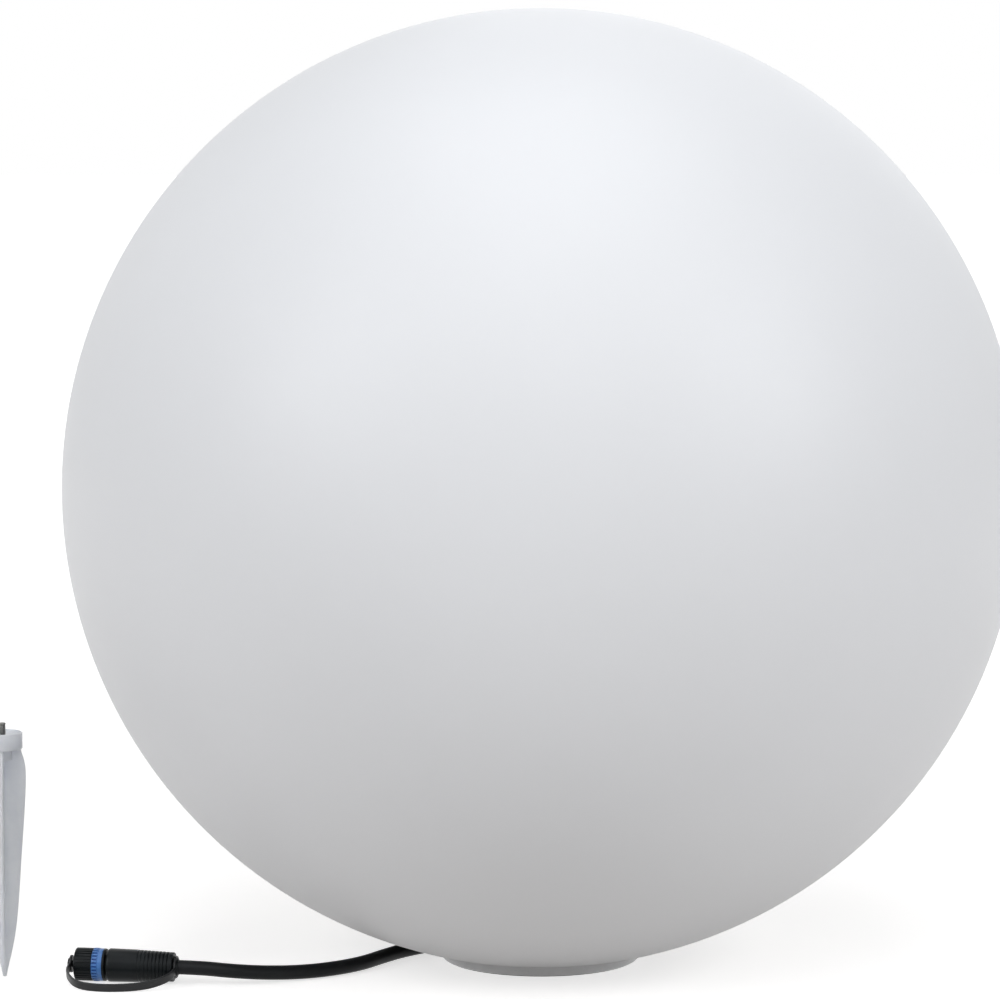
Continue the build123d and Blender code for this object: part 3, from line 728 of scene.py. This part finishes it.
def resmoothed(piece: Piece, smooth: float) -> None:
    """Merges doubles and marks the sharp edges again.

    Args:
        piece: The piece.
        smooth: Edges sharper than this many degrees stay sharp.
    """
    bm = bmesh.new()
    bm.from_mesh(piece.data)
    bmesh.ops.remove_doubles(bm, verts=bm.verts, dist=1e-6)
    mark_sharp(bm, smooth)
    bm.to_mesh(piece.data)
    bm.free()


def dress(piece: Piece, material: Material) -> Piece:
    """Gives every face of a piece one material.

    Args:
        piece: The piece.
        material: Its material.

    Returns:
        The piece.
    """
    if not piece.material_slots:
        piece.data.materials.append(material)
    for place in piece.material_slots:
        place.material = material
    return piece


def seated(piece: Piece, body: Body, slot: str, *nodes: str) -> Piece:
    """Rides a new piece on its body, and hides the nodes that it stands for.

    Args:
        piece: The piece.
        body: Its body.
        slot: The record's material slot; not used.
        nodes: CAD nodes that it replaces.

    Returns:
        The piece.
    """
    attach(piece, body.value)
    if nodes:
        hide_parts(*nodes)
    LOG.info("piece %s, %d faces", piece.name, len(piece.data.polygons) if piece.type == "MESH" else 0)
    return piece


# === Globe and foot ===


@dataclass
class Globe:
    """The opal shell, with its floor, the groove for the lead and the screw bosses."""

    radius: float = 250.0
    centre: float = 249.5321
    wall: float = 3.0
    opening: float = 37.0
    foot_top: float = 5.0
    rings: int = 96
    steps: int = 192
    groove_root: Point = (-29.8, 17.4)
    groove_mouth: Point = (-75.0, -4.0)
    groove_width: float = 14.0
    groove_height: float = 11.0
    groove_round: float = 4.0
    boss_radius: float = 4.4
    boss_bore: float = 2.9
    boss_height: float = 10.0
    boss_circle: float = 41.0
    boss_start: float = 30.0
    boss_count: int = 4
    boss_steps: int = 48
    finish: OpalFinish = field(default_factory=OpalFinish)

    def arc(self, radius: float, start_height: float) -> list[Triple]:
        """Points from a height up to the pole.

        Args:
            radius: Of the sphere.
            start_height: Height of the first point.

        Returns:
            Profile points.
        """
        start = asin((start_height - self.centre) / radius)
        turns = [start + (pi / 2 - start) * step / self.rings for step in range(self.rings + 1)]
        return [(max(radius * cos(turn), 0.0), self.centre + radius * sin(turn), 0.0) for turn in turns]

    def bar(self, name: str, grow: float = 0.0) -> Piece:
        """A bar along the lead's groove, with a rounded top.

        Args:
            name: The bar's name.
            grow: How much larger than the groove it is.

        Returns:
            The bar.
        """
        root, mouth = Vector((*self.groove_root, 0)), Vector((*self.groove_mouth, 0))
        way = mouth - root
        shape = Shape()
        half, top = self.groove_width / 2 + grow, self.groove_height + grow
        corners = [(-half, -2.0), (half, -2.0), (half, top), (-half, top)]
        made = [shape.bm.verts.new((x, y, 0)) for x, y in corners]
        shape.bm.faces.new(made)
        shape.rounded(made[2:], self.groove_round + grow, 6)
        shape.pushed((0, 0, way.length))
        return shape.finish(name, frame_of(root * MM, way))

    def roof(self) -> Piece:
        """The moulded wall over the groove, inside the shell.

        Returns:
            The roof.
        """
        half_wall = self.wall / 2
        base = self.foot_top + half_wall
        bore = self.opening + half_wall
        keep = [(0.0, base, 0.0)] + self.arc(self.radius - half_wall, base)
        inside = Shape().turned(keep, self.steps).finish("roof_bounds")
        middle = Shape().turned(
            [(0, -10.0, 0), (bore, -10.0, 0), (bore, self.centre, 0), (0, self.centre, 0)], self.steps
        ).finish("roof_bore")
        return joined(joined(self.bar("groove_roof", self.wall), [inside], "INTERSECT"), [middle], "DIFFERENCE")

    def at_screws(self, name: str, profile: Sequence[Triple], closed: bool = False) -> list[Piece]:
        """Turned solids round the foot's screws.

        Args:
            name: Start of their names.
            profile: Radius, height and corner rounding of each point.
            closed: Whether the last point joins the first.

        Returns:
            The solids.
        """
        made = []
        for index in range(self.boss_count):
            turn = radians(self.boss_start + index * 360 / self.boss_count)
            spot = Matrix.Translation(Vector((cos(turn), sin(turn), 0)) * self.boss_circle * MM)
            solid = Shape().turned(profile, self.boss_steps, closed)
            made.append(solid.finish(f"{name}_{index}", spot @ Matrix.Scale(MM, 4)))
        return made

    def build(self) -> Piece:
        """Builds the shell.

        Returns:
            The piece.
        """
        floor = self.foot_top + self.wall
        outer_points = self.arc(self.radius, self.foot_top)
        inner_points = self.arc(self.radius - self.wall, floor)
        outline = [(self.opening, floor, 0.0), (self.opening, self.foot_top, 0.4)]
        profile = outline + outer_points + inner_points[::-1]
        shell = Shape().turned(profile, self.steps, closed=True).finish("opal_globe", smooth=30)
        bore, post = self.boss_bore, self.boss_radius
        foot, top = self.foot_top + self.wall / 2, floor + self.boss_height
        tube = [(bore, foot, 0), (post, foot, 0), (post, top, 0.4), (bore, top, 0.2)]
        plug = [(0, 0, 0), (bore, 0, 0), (bore, floor + 4.0, 0), (0, floor + 4.0, 0)]
        shell = joined(shell, [self.roof(), *self.at_screws("boss", tube, closed=True)])
        shell = joined(shell, [self.bar("groove_cut"), *self.at_screws("bore", plug)], "DIFFERENCE")
        resmoothed(shell, 30)
        dress(shell, self.finish.make())
        return seated(shell, Body.LIGHT, "opal_shell", "globe_shell")


# === Lead ===


@dataclass
class Lead:
    """The free lead, from the plug to the strain relief under the globe."""

    # from the plug to the strain relief
    route: tuple[Triple, ...] = (
        (-187.0, -67.7, 8.65), (-175.0, -69.6, 8.65), (-159.5, -70.6, 7.20), (-142.0, -65.0, 5.10),
        (-124.0, -58.5, 4.10), (-107.5, -49.0, 3.90), (-93.5, -35.6, 3.85), (-83.6, -19.0, 3.85),
        (-73.2, -4.0, 3.95), (-60.0, 7.2, 4.40), (-45.0, 13.0, 5.40), (-31.0, 14.2, 6.90),
    )
    carried: tuple[str, ...] = (
        "plug_grip", "plug_barrel", "contact_pins", "barrel_seal", "coupling_ring_blue", "dust_cap_ribbed",
        "cap_strap",
    )
    diameter: float = 7.5
    length: float = 188.2
    finish: RubberFinish = RubberFinish("lead_jacket", JACKET, 0.42, 0.15, 2.4, 0.16)

    def build(self) -> Piece:
        """Builds the cord.

        Returns:
            The piece.
        """
        cord = drawn("lead_cord", ([part * MM for part in place] for place in self.route), 16)
        cord.data.bevel_depth = self.diameter / 2 * MM
        cord.data.bevel_resolution = 8
        cord.data.use_fill_caps = True
        dress(cord, self.finish.make())
        return seated(cord, Body.LIGHT, "lead_black", "lead_cable")


# === Plug ===


@dataclass
class Plug:
    """The plug: ribbed body, coupling ring, capped barrel."""

    rear: Triple = (-0.187, -0.0677, 0.00865)
    axis: Triple = (-0.9876883, 0.1564345, 0.0)
    radius: float = 8.6
    waist: float = 22.0
    waist_radius: float = 8.4
    rear_radius: float = 7.6
    length: float = 37.2
    neck_radius: float = 4.5
    neck_length: float = 2.5
    barrel_neck: float = 5.2
    groove_first: float = 4.7
    groove_pitch: float = 1.95
    groove_count: int = 10
    groove_width: float = 0.6
    groove_depth: float = 0.5
    groove_fade: float = 0.36
    ring_rear: float = 38.1
    ring_front: float = 44.8
    ring_radius: float = 8.65
    ring_band: float = 8.4
    ring_bore: float = 6.3
    ridge_length: float = 3.1
    ridges: int = 28
    cap_rear: float = 45.0
    cap_front: float = 54.2
    cap_radius: float = 8.5
    cap_bore: float = 7.0
    cap_wall: float = 1.4
    cap_ribs: int = 30
    knob_radius: float = 1.6
    knob_head: float = 2.9
    knob_front: float = 58.5
    ring_dark: float = 1.3
    black: MouldedFinish = MouldedFinish("plug_black", (0.006, 0.008, 0.009), 0.33, 3.0, 0.015, 0.15, 0.14)
    blue: MouldedFinish = MouldedFinish("ring_blue", (0.055, 0.18, 0.47), 0.34, 2.6, 0.02, 0.12, 0.5)
    # the darker blue of the gaps between the ridges is painted shade in those recesses
    painted_gap_shade_blue: MouldedFinish = MouldedFinish("ring_blue_painted_gap_shade", (0.016, 0.07, 0.26), 0.45, 2.6, 0.02, 0.2, 0.3)

    def frame(self) -> Matrix:
        """The plug's frame, with Z from its rear to its cap."""
        return frame_of(self.rear, self.axis)

    def body(self, black: Material) -> Piece:
        """The moulded body with its flex grooves.

        Args:
            black: Its material.

        Returns:
            The piece.
        """
        neck, front, taper, slope = self.neck_radius, self.neck_length, 0.55, 0.1
        profile = [
            (0, 0, 0), (neck - taper, 0, 0.1), (neck, 0.9, 0.2), (neck, front, 0), (self.rear_radius, front, 0.5),
        ]
        for groove in range(self.groove_count):
            start = self.groove_first + groove * self.groove_pitch
            end = start + self.groove_width
            share = (start - front) / (self.waist - front)
            outer = self.rear_radius + (self.waist_radius - self.rear_radius) * share
            floor = outer - self.groove_depth + self.groove_fade * groove / self.groove_count
            profile += [(outer, start, 0.2), (floor, start + slope, 0.2), (floor, end - slope, 0.2), (outer, end, 0.2)]
        profile += [
            (self.waist_radius, self.waist, 0.0), (self.radius, self.length - 2.4, 0.0),
            (self.radius, self.length, 1.1), (self.barrel_neck, self.length, 0.15), (0, self.length, 0),
        ]
        piece = Shape().turned(profile, 96).finish("plug_grip", self.frame(), 50)
        return seated(dress(piece, black), Body.LIGHT, "plug_black", "plug_body")

    def ring(self, black: Material) -> Piece:
        """The blue coupling ring with its ridges, painted shade in a darker blue in the gaps between them, and its rear
        band in the plug's black.

        Args:
            black: Material of the rear band.

        Returns:
            The piece.
        """
        rear, front = self.ring_rear, self.ring_front
        bore, band, outer = self.ring_bore, self.ring_band, self.ring_radius
        split, dark = front - self.ridge_length, rear + self.ring_dark
        lip, seat = bore - 1.05, rear + 1.2
        profile = [
            (lip, rear, 0.1), (band, rear, 0.5), (band, dark - 0.1, 0.05), (band - 0.2, dark, 0.0),
            (band, dark + 0.1, 0.05), (band, split, 0.0), (outer, split + 0.12, 0.1), (outer, front, 0.3),
            (bore, front, 0.15), (bore, seat, 0.1), (lip, seat, 0.1),
        ]
        shape = Shape().turned(profile, 4 * self.ridges, closed=True)
        # the faces in the gaps between the ridges get the darker blue: painted shade
        for face in shape.ribbed(self.ridges, outer - 0.05, 0.8, 0.1, 0.42):
            face.material_index = 2
        # the faces behind the small groove at the rear take the plug's black
        for face in shape.bm.faces:
            if face.calc_center_median().z < dark:
                face.material_index = 1
        piece = shape.finish("coupling_ring_blue", self.frame(), 45)
        for material in (self.blue.make(), black, self.painted_gap_shade_blue.make()):
            piece.data.materials.append(material)
        return seated(piece, Body.RING, "ring_blue", "coupling_ring")

    def cap(self, black: Material) -> Piece:
        """The ribbed dust cap with its knob.

        Args:
            black: Its material.

        Returns:
            The piece.
        """
        rear, front, bore, outer = self.cap_rear, self.cap_front, self.cap_bore, self.cap_radius
        inside = front - self.cap_wall
        knob, head, tip = self.knob_radius, self.knob_head, self.knob_front
        profile = [
            (0, inside, 0), (bore, inside, 0.3), (bore, rear, 0.2), (outer, rear, 0.25), (outer, front, 0.6),
            (knob, front, 0.2), (knob, tip - 1.0, 0.15), (head, tip - 1.0, 0.15), (head, tip, 0.35), (0, tip, 0),
        ]
        shape = Shape().turned(profile, 4 * self.cap_ribs)
        shape.ribbed(self.cap_ribs, outer - 0.1, 1.5, 0.13, 0.35)
        piece = shape.finish("dust_cap_ribbed", self.frame(), 45)
        return seated(dress(piece, black), Body.CAP, "plug_black", "dust_cap")

    def build(self) -> None:
        """Builds the plug's pieces."""
        black = self.black.make()
        self.body(black)
        self.ring(black)
        self.cap(black)
        dress_node("plug_barrel", black)


@dataclass
class Tether:
    """The rubber strap between the plug's neck and the dust cap's knob."""

    plug: Plug = field(default_factory=Plug)
    tilt: float = 14.0
    width: float = 4.5
    thickness: float = 1.2
    points: tuple[Point, ...] = (
        (1.5, 5.2), (1.5, 9.4), (5.2, 16.4), (12.8, 23.0), (26.0, 26.4), (40.0, 26.8), (49.6, 23.6), (55.4, 15.0),
        (57.4, 8.6), (57.0, 4.2),
    )
    rear_ring: Triple = (4.8, 5.8, 0.9)
    eyelet: Triple = (1.9, 4.6, 56.2)
    ring_thickness: float = 1.3
    stretch: Point = (4.0, 54.0)
    voxel: float = 0.2
    finish: RubberFinish = RubberFinish("tether_rubber", (0.018, 0.0185, 0.0195), 0.36, 0.2, 2.0, 0.3)

    def build(self) -> Piece:
        """Builds the strap.

        Returns:
            The piece.
        """
        axis = Vector(self.plug.axis)
        sideways = Vector((0, 0, 1)).cross(axis).normalized()
        way = sideways * cos(radians(self.tilt)) - Vector((0, 0, sin(radians(self.tilt))))
        frame = frame_of(self.plug.rear, self.plug.axis, way)
        parts = []
        for inner, outer, start in (self.rear_ring, self.eyelet):
            end = start + self.ring_thickness
            profile = [(inner, start, 0.15), (outer, start, 0.25), (outer, end, 0.25), (inner, end, 0.15)]
            parts.append(Shape().turned(profile, 64, closed=True).finish("strap_ring", frame))
        base = joined(parts[0], [parts[1], self.strap(frame)])
        modifier = base.modifiers.new("skin", "REMESH")
        modifier.mode = "VOXEL"
        modifier.voxel_size = self.voxel * MM
        modifier.use_smooth_shade = True
        smooth = base.modifiers.new("soft", "CORRECTIVE_SMOOTH")
        smooth.iterations = 6
        smooth.factor = 0.5
        smooth.use_only_smooth = True
        piece = applied(base)
        piece.name = "cap_strap"
        for face in piece.data.polygons:
            face.use_smooth = True
        dress(piece, self.finish.make())
        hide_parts("cap_tether")
        start, end = (tuple(Vector(self.plug.rear) + axis * along * MM) for along in self.stretch)
        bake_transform(piece)
        LOG.info("piece %s, %d faces", piece.name, len(piece.data.polygons))
        return piece

    def strap(self, frame: Matrix) -> Piece:
        """The band itself, swept along its line.

        Args:
            frame: The strap's frame: Z along the plug, Y out towards the band.

        Returns:
            The band.
        """
        band = applied(drawn("strap_band", ((along, out, 0) for along, out in self.points), 12))
        ribbon = bmesh.new()
        ribbon.from_mesh(band.data)
        bmesh.ops.translate(ribbon, vec=(0, 0, -self.width / 2), verts=ribbon.verts)
        moved(ribbon, bmesh.ops.extrude_edge_only(ribbon, edges=list(ribbon.edges)), (0, 0, self.width))
        ribbon.to_mesh(band.data)
        ribbon.free()
        wall = band.modifiers.new("wall", "SOLIDIFY")
        wall.thickness = self.thickness
        wall.offset = 0.0
        wall.use_even_offset = True
        band = applied(band)
        shape = Shape()
        shape.bm.from_mesh(band.data)
        bpy.data.objects.remove(band)
        shape.softened()
        # the line was drawn in X and Y: X becomes the frame's Z, and its Z the frame's X
        swap = Matrix(((0, 0, 1, 0), (0, 1, 0, 0), (1, 0, 0, 0), (0, 0, 0, 1)))
        return shape.finish("strap_band", frame @ swap)


# === Spike ===


@dataclass
class Spike:
    """The ground spike: cup-shaped head, hub, two crossed blades and a threaded stud."""

    place: Point = (-278.7, -49.4)
    length: float = 128.5
    head_radius: float = 10.6
    head_height: float = 8.6
    rim: float = 0.9
    recess: float = 1.2
    hub_radius: float = 5.2
    hub_drop: float = 6.0
    skirt_wall: float = 1.8
    skirt_depth: float = 4.6
    blade_top: float = 124.2
    outline: tuple[Point, ...] = ((9.7, 119.5), (12.1, 105.0), (9.4, 63.0), (6.3, 26.0), (0.9, 0.0))
    top_thickness: float = 2.5
    tip_thickness: float = 0.9
    stud_radius: float = 2.0
    stud_rise: float = 5.0
    pitch: float = 0.7
    finish: TranslucentFinish = field(default_factory=TranslucentFinish)
    steel: MetalFinish = MetalFinish("stud_steel", (0.30, 0.30, 0.29), 0.34, 5.0, (0.09, 0.09, 0.085), 0.5)

    def frame(self) -> Matrix:
        """The spike's frame, with Z up from its tip."""
        x, y = self.place
        return Matrix.Translation(Vector((x, y, 0)) * MM) @ Matrix.Scale(MM, 4)

    def edge_line(self) -> list[Point]:
        """The blade's edge, smoothed through its outline from the top down."""
        points = [Vector((width, height, 0)) for width, height in self.outline]
        lead = [points[0] * 2 - points[1]] + points + [points[-1] * 2 - points[-2]]
        line: list[Point] = []
        for first, second, third, fourth in zip(lead, lead[1:], lead[2:], lead[3:]):
            for step in range(8):
                t = step / 8
                spot = 0.5 * (
                    2 * second + (third - first) * t + (2 * first - 5 * second + 4 * third - fourth) * t**2
                    + (3 * second - first - 3 * third + fourth) * t**3
                )
                line.append((spot.x, spot.y))
        line.append(self.outline[-1])
        return line

    def blade(self, turn: float) -> Piece:
        """One blade, a thin wedge with rounded edges.

        Args:
            turn: Degrees round Z.

        Returns:
            The blade.
        """
        edge = [(self.outline[0][0], self.blade_top)] + self.edge_line()
        shape = Shape()
        right = [shape.bm.verts.new((width, 0, height)) for width, height in edge]
        left = [shape.bm.verts.new((-width, 0, height)) for width, height in edge]
        for (a, b), (c, d) in zip(zip(right, right[1:]), zip(left, left[1:])):
            shape.bm.faces.new((a, b, d, c))
        near = list(shape.bm.verts)
        for group, side in ((near, 0.5), (shape.pushed((0, 0, 0)), -0.5)):
            for vertex in group:
                share = vertex.co.z / self.blade_top
                vertex.co.y = side * (self.tip_thickness + (self.top_thickness - self.tip_thickness) * share)
        bmesh.ops.recalc_face_normals(shape.bm, faces=shape.bm.faces)
        shape.softened()
        return shape.finish("spike_blade", self.frame() @ Matrix.Rotation(radians(turn), 4, "Z"), 30)

    def head(self) -> Piece:
        """The head with its rim, skirt and hub.

        Returns:
            The head.
        """
        top, base = self.length, self.length - self.head_height
        outer, hub = self.head_radius, self.hub_radius
        rim, floor = outer - self.rim, top - self.recess
        skirt, roof, end = outer - self.skirt_wall, base + self.skirt_depth, base - self.hub_drop
        profile = [
            (0, floor, 0), (rim, floor, 0.3), (rim, top, 0.25), (outer, top, 0.4), (outer, base, 0.5),
            (skirt, base, 0.3), (skirt, roof, 0.4), (hub, roof, 0.4), (hub, end, 0.5), (0, end, 0),
        ]
        return Shape().turned(profile, 96).finish("spike_head", self.frame(), 35)

    def stud(self) -> Piece:
        """The threaded stud: one turn's profile swept along a helix, then cut square at both ends.

        Returns:
            The piece.
        """
        steps, chamfer, depth = 36, 0.25, 0.43
        top = self.length + self.stud_rise
        bottom = self.length - self.recess - 0.4
        turns = int((top - bottom) / self.pitch) + 3
        crest = self.stud_radius
        root = crest - depth
        start = bottom - self.pitch
        shape = Shape()
        bm = shape.bm
        heights = ((0.0, root), (0.08, root), (0.3, crest), (0.4, crest), (0.62, root), (self.pitch, root))
        line = [bm.verts.new((reach, 0, start + rise)) for rise, reach in heights]
        edges = [bm.edges.new(pair) for pair in zip(line, line[1:])]
        bmesh.ops.spin(
            bm, geom=line + edges, cent=(0, 0, 0), axis=(0, 0, 1), dvec=(0, 0, self.pitch / steps),
            angle=2 * pi * turns, steps=steps * turns, use_merge=False, use_duplicate=False,
        )
        bmesh.ops.remove_doubles(bm, verts=bm.verts, dist=0.002)
        for height, below in ((top, False), (bottom, True)):
            everything = list(bm.verts) + list(bm.edges) + list(bm.faces)
            cut = bmesh.ops.bisect_plane(
                bm, geom=everything, dist=1e-5, plane_co=(0, 0, height), plane_no=(0, 0, 1),
                clear_outer=not below, clear_inner=below,
            )
            rim = [item for item in cut["geom_cut"] if isinstance(item, bmesh.types.BMEdge)]
            filled = bmesh.ops.contextual_create(bm, geom=rim)
            if not below:
                bmesh.ops.inset_region(bm, faces=filled["faces"], thickness=0.3, depth=0.0, use_even_offset=True)
        for vertex in bm.verts:
            if vertex.co.z > top - 0.001 and sqrt(vertex.co.x**2 + vertex.co.y**2) > root - 0.2:
                vertex.co.z -= chamfer
        piece = shape.finish("spike_stud_threaded", self.frame(), 30)
        return seated(dress(piece, self.steel.make()), Body.SPIKE, "stud_steel", "spike_stud")

    def build(self) -> None:
        """Builds the spike."""
        head = joined(self.head(), [self.blade(0.0), self.blade(90.0)])
        head.name = "spike_moulding"
        resmoothed(head, 32)
        dress(head, self.finish.make())
        seated(head, Body.SPIKE, "spike_plastic", "spike_body")
        self.stud()


# === Pieces that keep their CAD shape ===


def dress_node(name: str, material: Material) -> None:
    """Dresses a node that keeps its CAD shape.

    Args:
        name: The node's name.
        material: Its material.
    """
    dress(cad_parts[name], material)
    LOG.info("node %s dressed in %s", name, material.name)


@dataclass
class KeptPieces:
    """Finishes of the nodes whose CAD shape is right."""

    finishes: tuple[tuple[Finish, tuple[str, ...]], ...] = (
        (MouldedFinish("foot_grey", (0.92, 0.92, 0.925), 0.3, 2.8, 0.03, 0.03, 1.0, 1.0), ("foot_plate", "lens_ring")),
        (RubberFinish("foot_rubber", (0.2, 0.2, 0.2), 0.6, 0.1), ("foot_ring_pad",)),
        (RubberFinish("seal_rubber", (0.32, 0.09, 0.06), 0.5), ("base_gasket", "hub_seal", "barrel_seal")),
        (
            MetalFinish("zinc_screw", (0.62, 0.62, 0.60), 0.3),
            ("base_screws", "clamp_screws", "board_screws", "lens_screws"),
        ),
        (
            MetalFinish("insert_brass", (0.72, 0.52, 0.22), 0.3, 6.0, (0.3, 0.2, 0.08)),
            ("shell_inserts", "spike_insert", "contact_pins"),
        ),
        (RubberFinish("jacket_end", JACKET, 0.42, 0.15, 2.4, 0.16), ("strain_relief", "lead_tail")),
        (MouldedFinish("clamp_white", (0.72, 0.72, 0.70), 0.45), ("cable_clamp",)),
        (MouldedFinish("wire_red", (0.42, 0.02, 0.02), 0.35), ("positive_lead", "led_leads")),
        (MouldedFinish("wire_black", (0.02, 0.02, 0.02), 0.35), ("negative_lead",)),
        (BoardFinish("driver_board", (0.02, 0.16, 0.06), (0.035, 0.24, 0.1), (0.7, 0.7, 0.68)), ("driver_board",)),
        (BoardFinish("led_board", (0.78, 0.78, 0.76), (0.7, 0.7, 0.67), (0.72, 0.6, 0.35), 0.2), ("led_board",)),
        (MouldedFinish("terminal_green", (0.08, 0.34, 0.14), 0.4), ("terminal_block",)),
        (WindingFinish(), ("driver_coil",)),
        (MouldedFinish("can_sleeve", (0.03, 0.03, 0.06), 0.3, 2.0, 0.02, 0.1, 0.5, 0.3), ("driver_capacitors",)),
        (MouldedFinish("chip_epoxy", (0.03, 0.03, 0.03), 0.5, 4.0), ("driver_chip",)),
        (MetalFinish("cast_aluminium", (0.62, 0.62, 0.63), 0.42, 2.0, (0.4, 0.4, 0.4)), ("heat_sink",)),
        (MouldedFinish("phosphor_gel", (0.82, 0.62, 0.12), 0.25, 2.0, 0.01, 0.05, 0.5, 0.4), ("led_chips",)),
        (FrostedFinish(), ("lens_dome",)),
    )

    def build(self) -> None:
        """Dresses every such node."""
        for finish, names in self.finishes:
            material = finish.make()
            for name in names:
                dress_node(name, material)


# === Studio ===


@dataclass
class Studio:
    """Camera, floor, world and lamps."""

    eye: Triple = (-0.0213, -2.7, 0.572)
    pitch: float = 6.95
    lens: float = 187.1
    shift: Point = (-0.0003, 0.0006)
    floor_size: float = 14.0
    world: float = 0.10
    floor_colour: Colour = (0.66, 0.64, 0.62)
    floor_glow: float = 0.66
    far_glow: float = 0.5
    far: Point = (400.0, 1600.0)
    lamp_colour: Colour = (0.978, 1.0, 1.038)
    aim: Triple = (0.0, 0.0, 0.25)
    # name, place, side in metres, watts
    lamps: tuple[tuple[str, Triple, float, float], ...] = (
        ("key", (-0.1, -2.2, 2.6), 2.4, 25.8),
        ("top", (0.0, 0.0, 2.8), 2.0, 21.0),
        ("left", (-2.4, -1.6, 1.6), 1.6, 38.0),
        ("right", (2.4, -1.6, 1.6), 1.6, 40.5),
        ("back", (0.6, 2.6, 1.6), 2.0, 7.0),
    )

    def camera(self) -> None:
        """Places the camera."""
        data = bpy.data.cameras.new("camera")
        data.lens = self.lens
        data.sensor_width = 36.0
        data.clip_end = 60.0
        data.shift_x, data.shift_y = self.shift
        camera = linked("camera", data)
        camera.location = self.eye
        camera.rotation_euler = (radians(90 - self.pitch), 0, 0)
        bpy.context.scene.camera = camera

    def floor(self) -> None:
        """Lays a pale floor that reads white to the camera and keeps the object's shadow."""
        shape = Shape()
        bmesh.ops.create_grid(shape.bm, x_segments=1, y_segments=1, size=self.floor_size / 2 / MM)
        floor = shape.finish("studio_floor", outwards=False)
        paint = Paint("studio_floor")
        paint.set(Base_Color=self.floor_colour, Roughness=0.9, Specular_IOR_Level=0.1)
        seen = paint.seen()
        away = paint.add("VectorMath", {"operation": "LENGTH"}, {0: paint.place()}, "Value")
        level = self.floor_glow + away.step(*self.far) * self.far_glow
        paint.set(Emission_Color=WHITE, Emission_Strength=seen * level)
        dress(floor, paint.material)

    def surround(self) -> None:
        """Lights the world softly, and shows it white."""
        world = bpy.data.worlds.new("studio")
        world.use_nodes = True
        bpy.context.scene.world = world
        nodes = Nodes(world.node_tree)
        inputs = {"Value": nodes.seen(), "To Min": self.world, "To Max": 1.0}
        strength = nodes.add("MapRange", None, inputs, "Result")
        back = nodes.add("Background", None, {"Color": WHITE, "Strength": strength}, "Background")
        nodes.put(world.node_tree.nodes.new("ShaderNodeOutputWorld").inputs["Surface"], back)

    def light(self) -> None:
        """Hangs the soft square lamps."""
        for name, place, size, power in self.lamps:
            data = bpy.data.lights.new(name, "AREA")
            data.shape = "SQUARE"
            data.size = size
            data.energy = power
            data.color = self.lamp_colour
            lamp = linked(name, data)
            lamp.location = place
            lamp.rotation_euler = (Vector(self.aim) - Vector(place)).to_track_quat("-Z", "Y").to_euler()

    def build(self) -> None:
        """Builds the studio."""
        self.camera()
        self.floor()
        self.surround()
        self.light()
        bpy.context.scene.view_settings.view_transform = "Standard"


def main() -> None:
    """Builds everything in order."""
    logging.basicConfig(level=logging.INFO, format="%(message)s")
    Studio().build()
    lead = Lead()
    cord = lead.build()
    Plug().build()
    Tether().build()
    Globe().build()
    Spike().build()
    KeptPieces().build()


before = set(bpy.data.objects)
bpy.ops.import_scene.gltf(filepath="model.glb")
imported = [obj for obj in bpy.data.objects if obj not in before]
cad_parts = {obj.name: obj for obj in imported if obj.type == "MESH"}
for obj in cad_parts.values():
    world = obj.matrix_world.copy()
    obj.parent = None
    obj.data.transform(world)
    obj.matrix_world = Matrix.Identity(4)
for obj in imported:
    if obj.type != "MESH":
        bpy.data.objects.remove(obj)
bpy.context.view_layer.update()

if __name__ == "__main__":
    main()
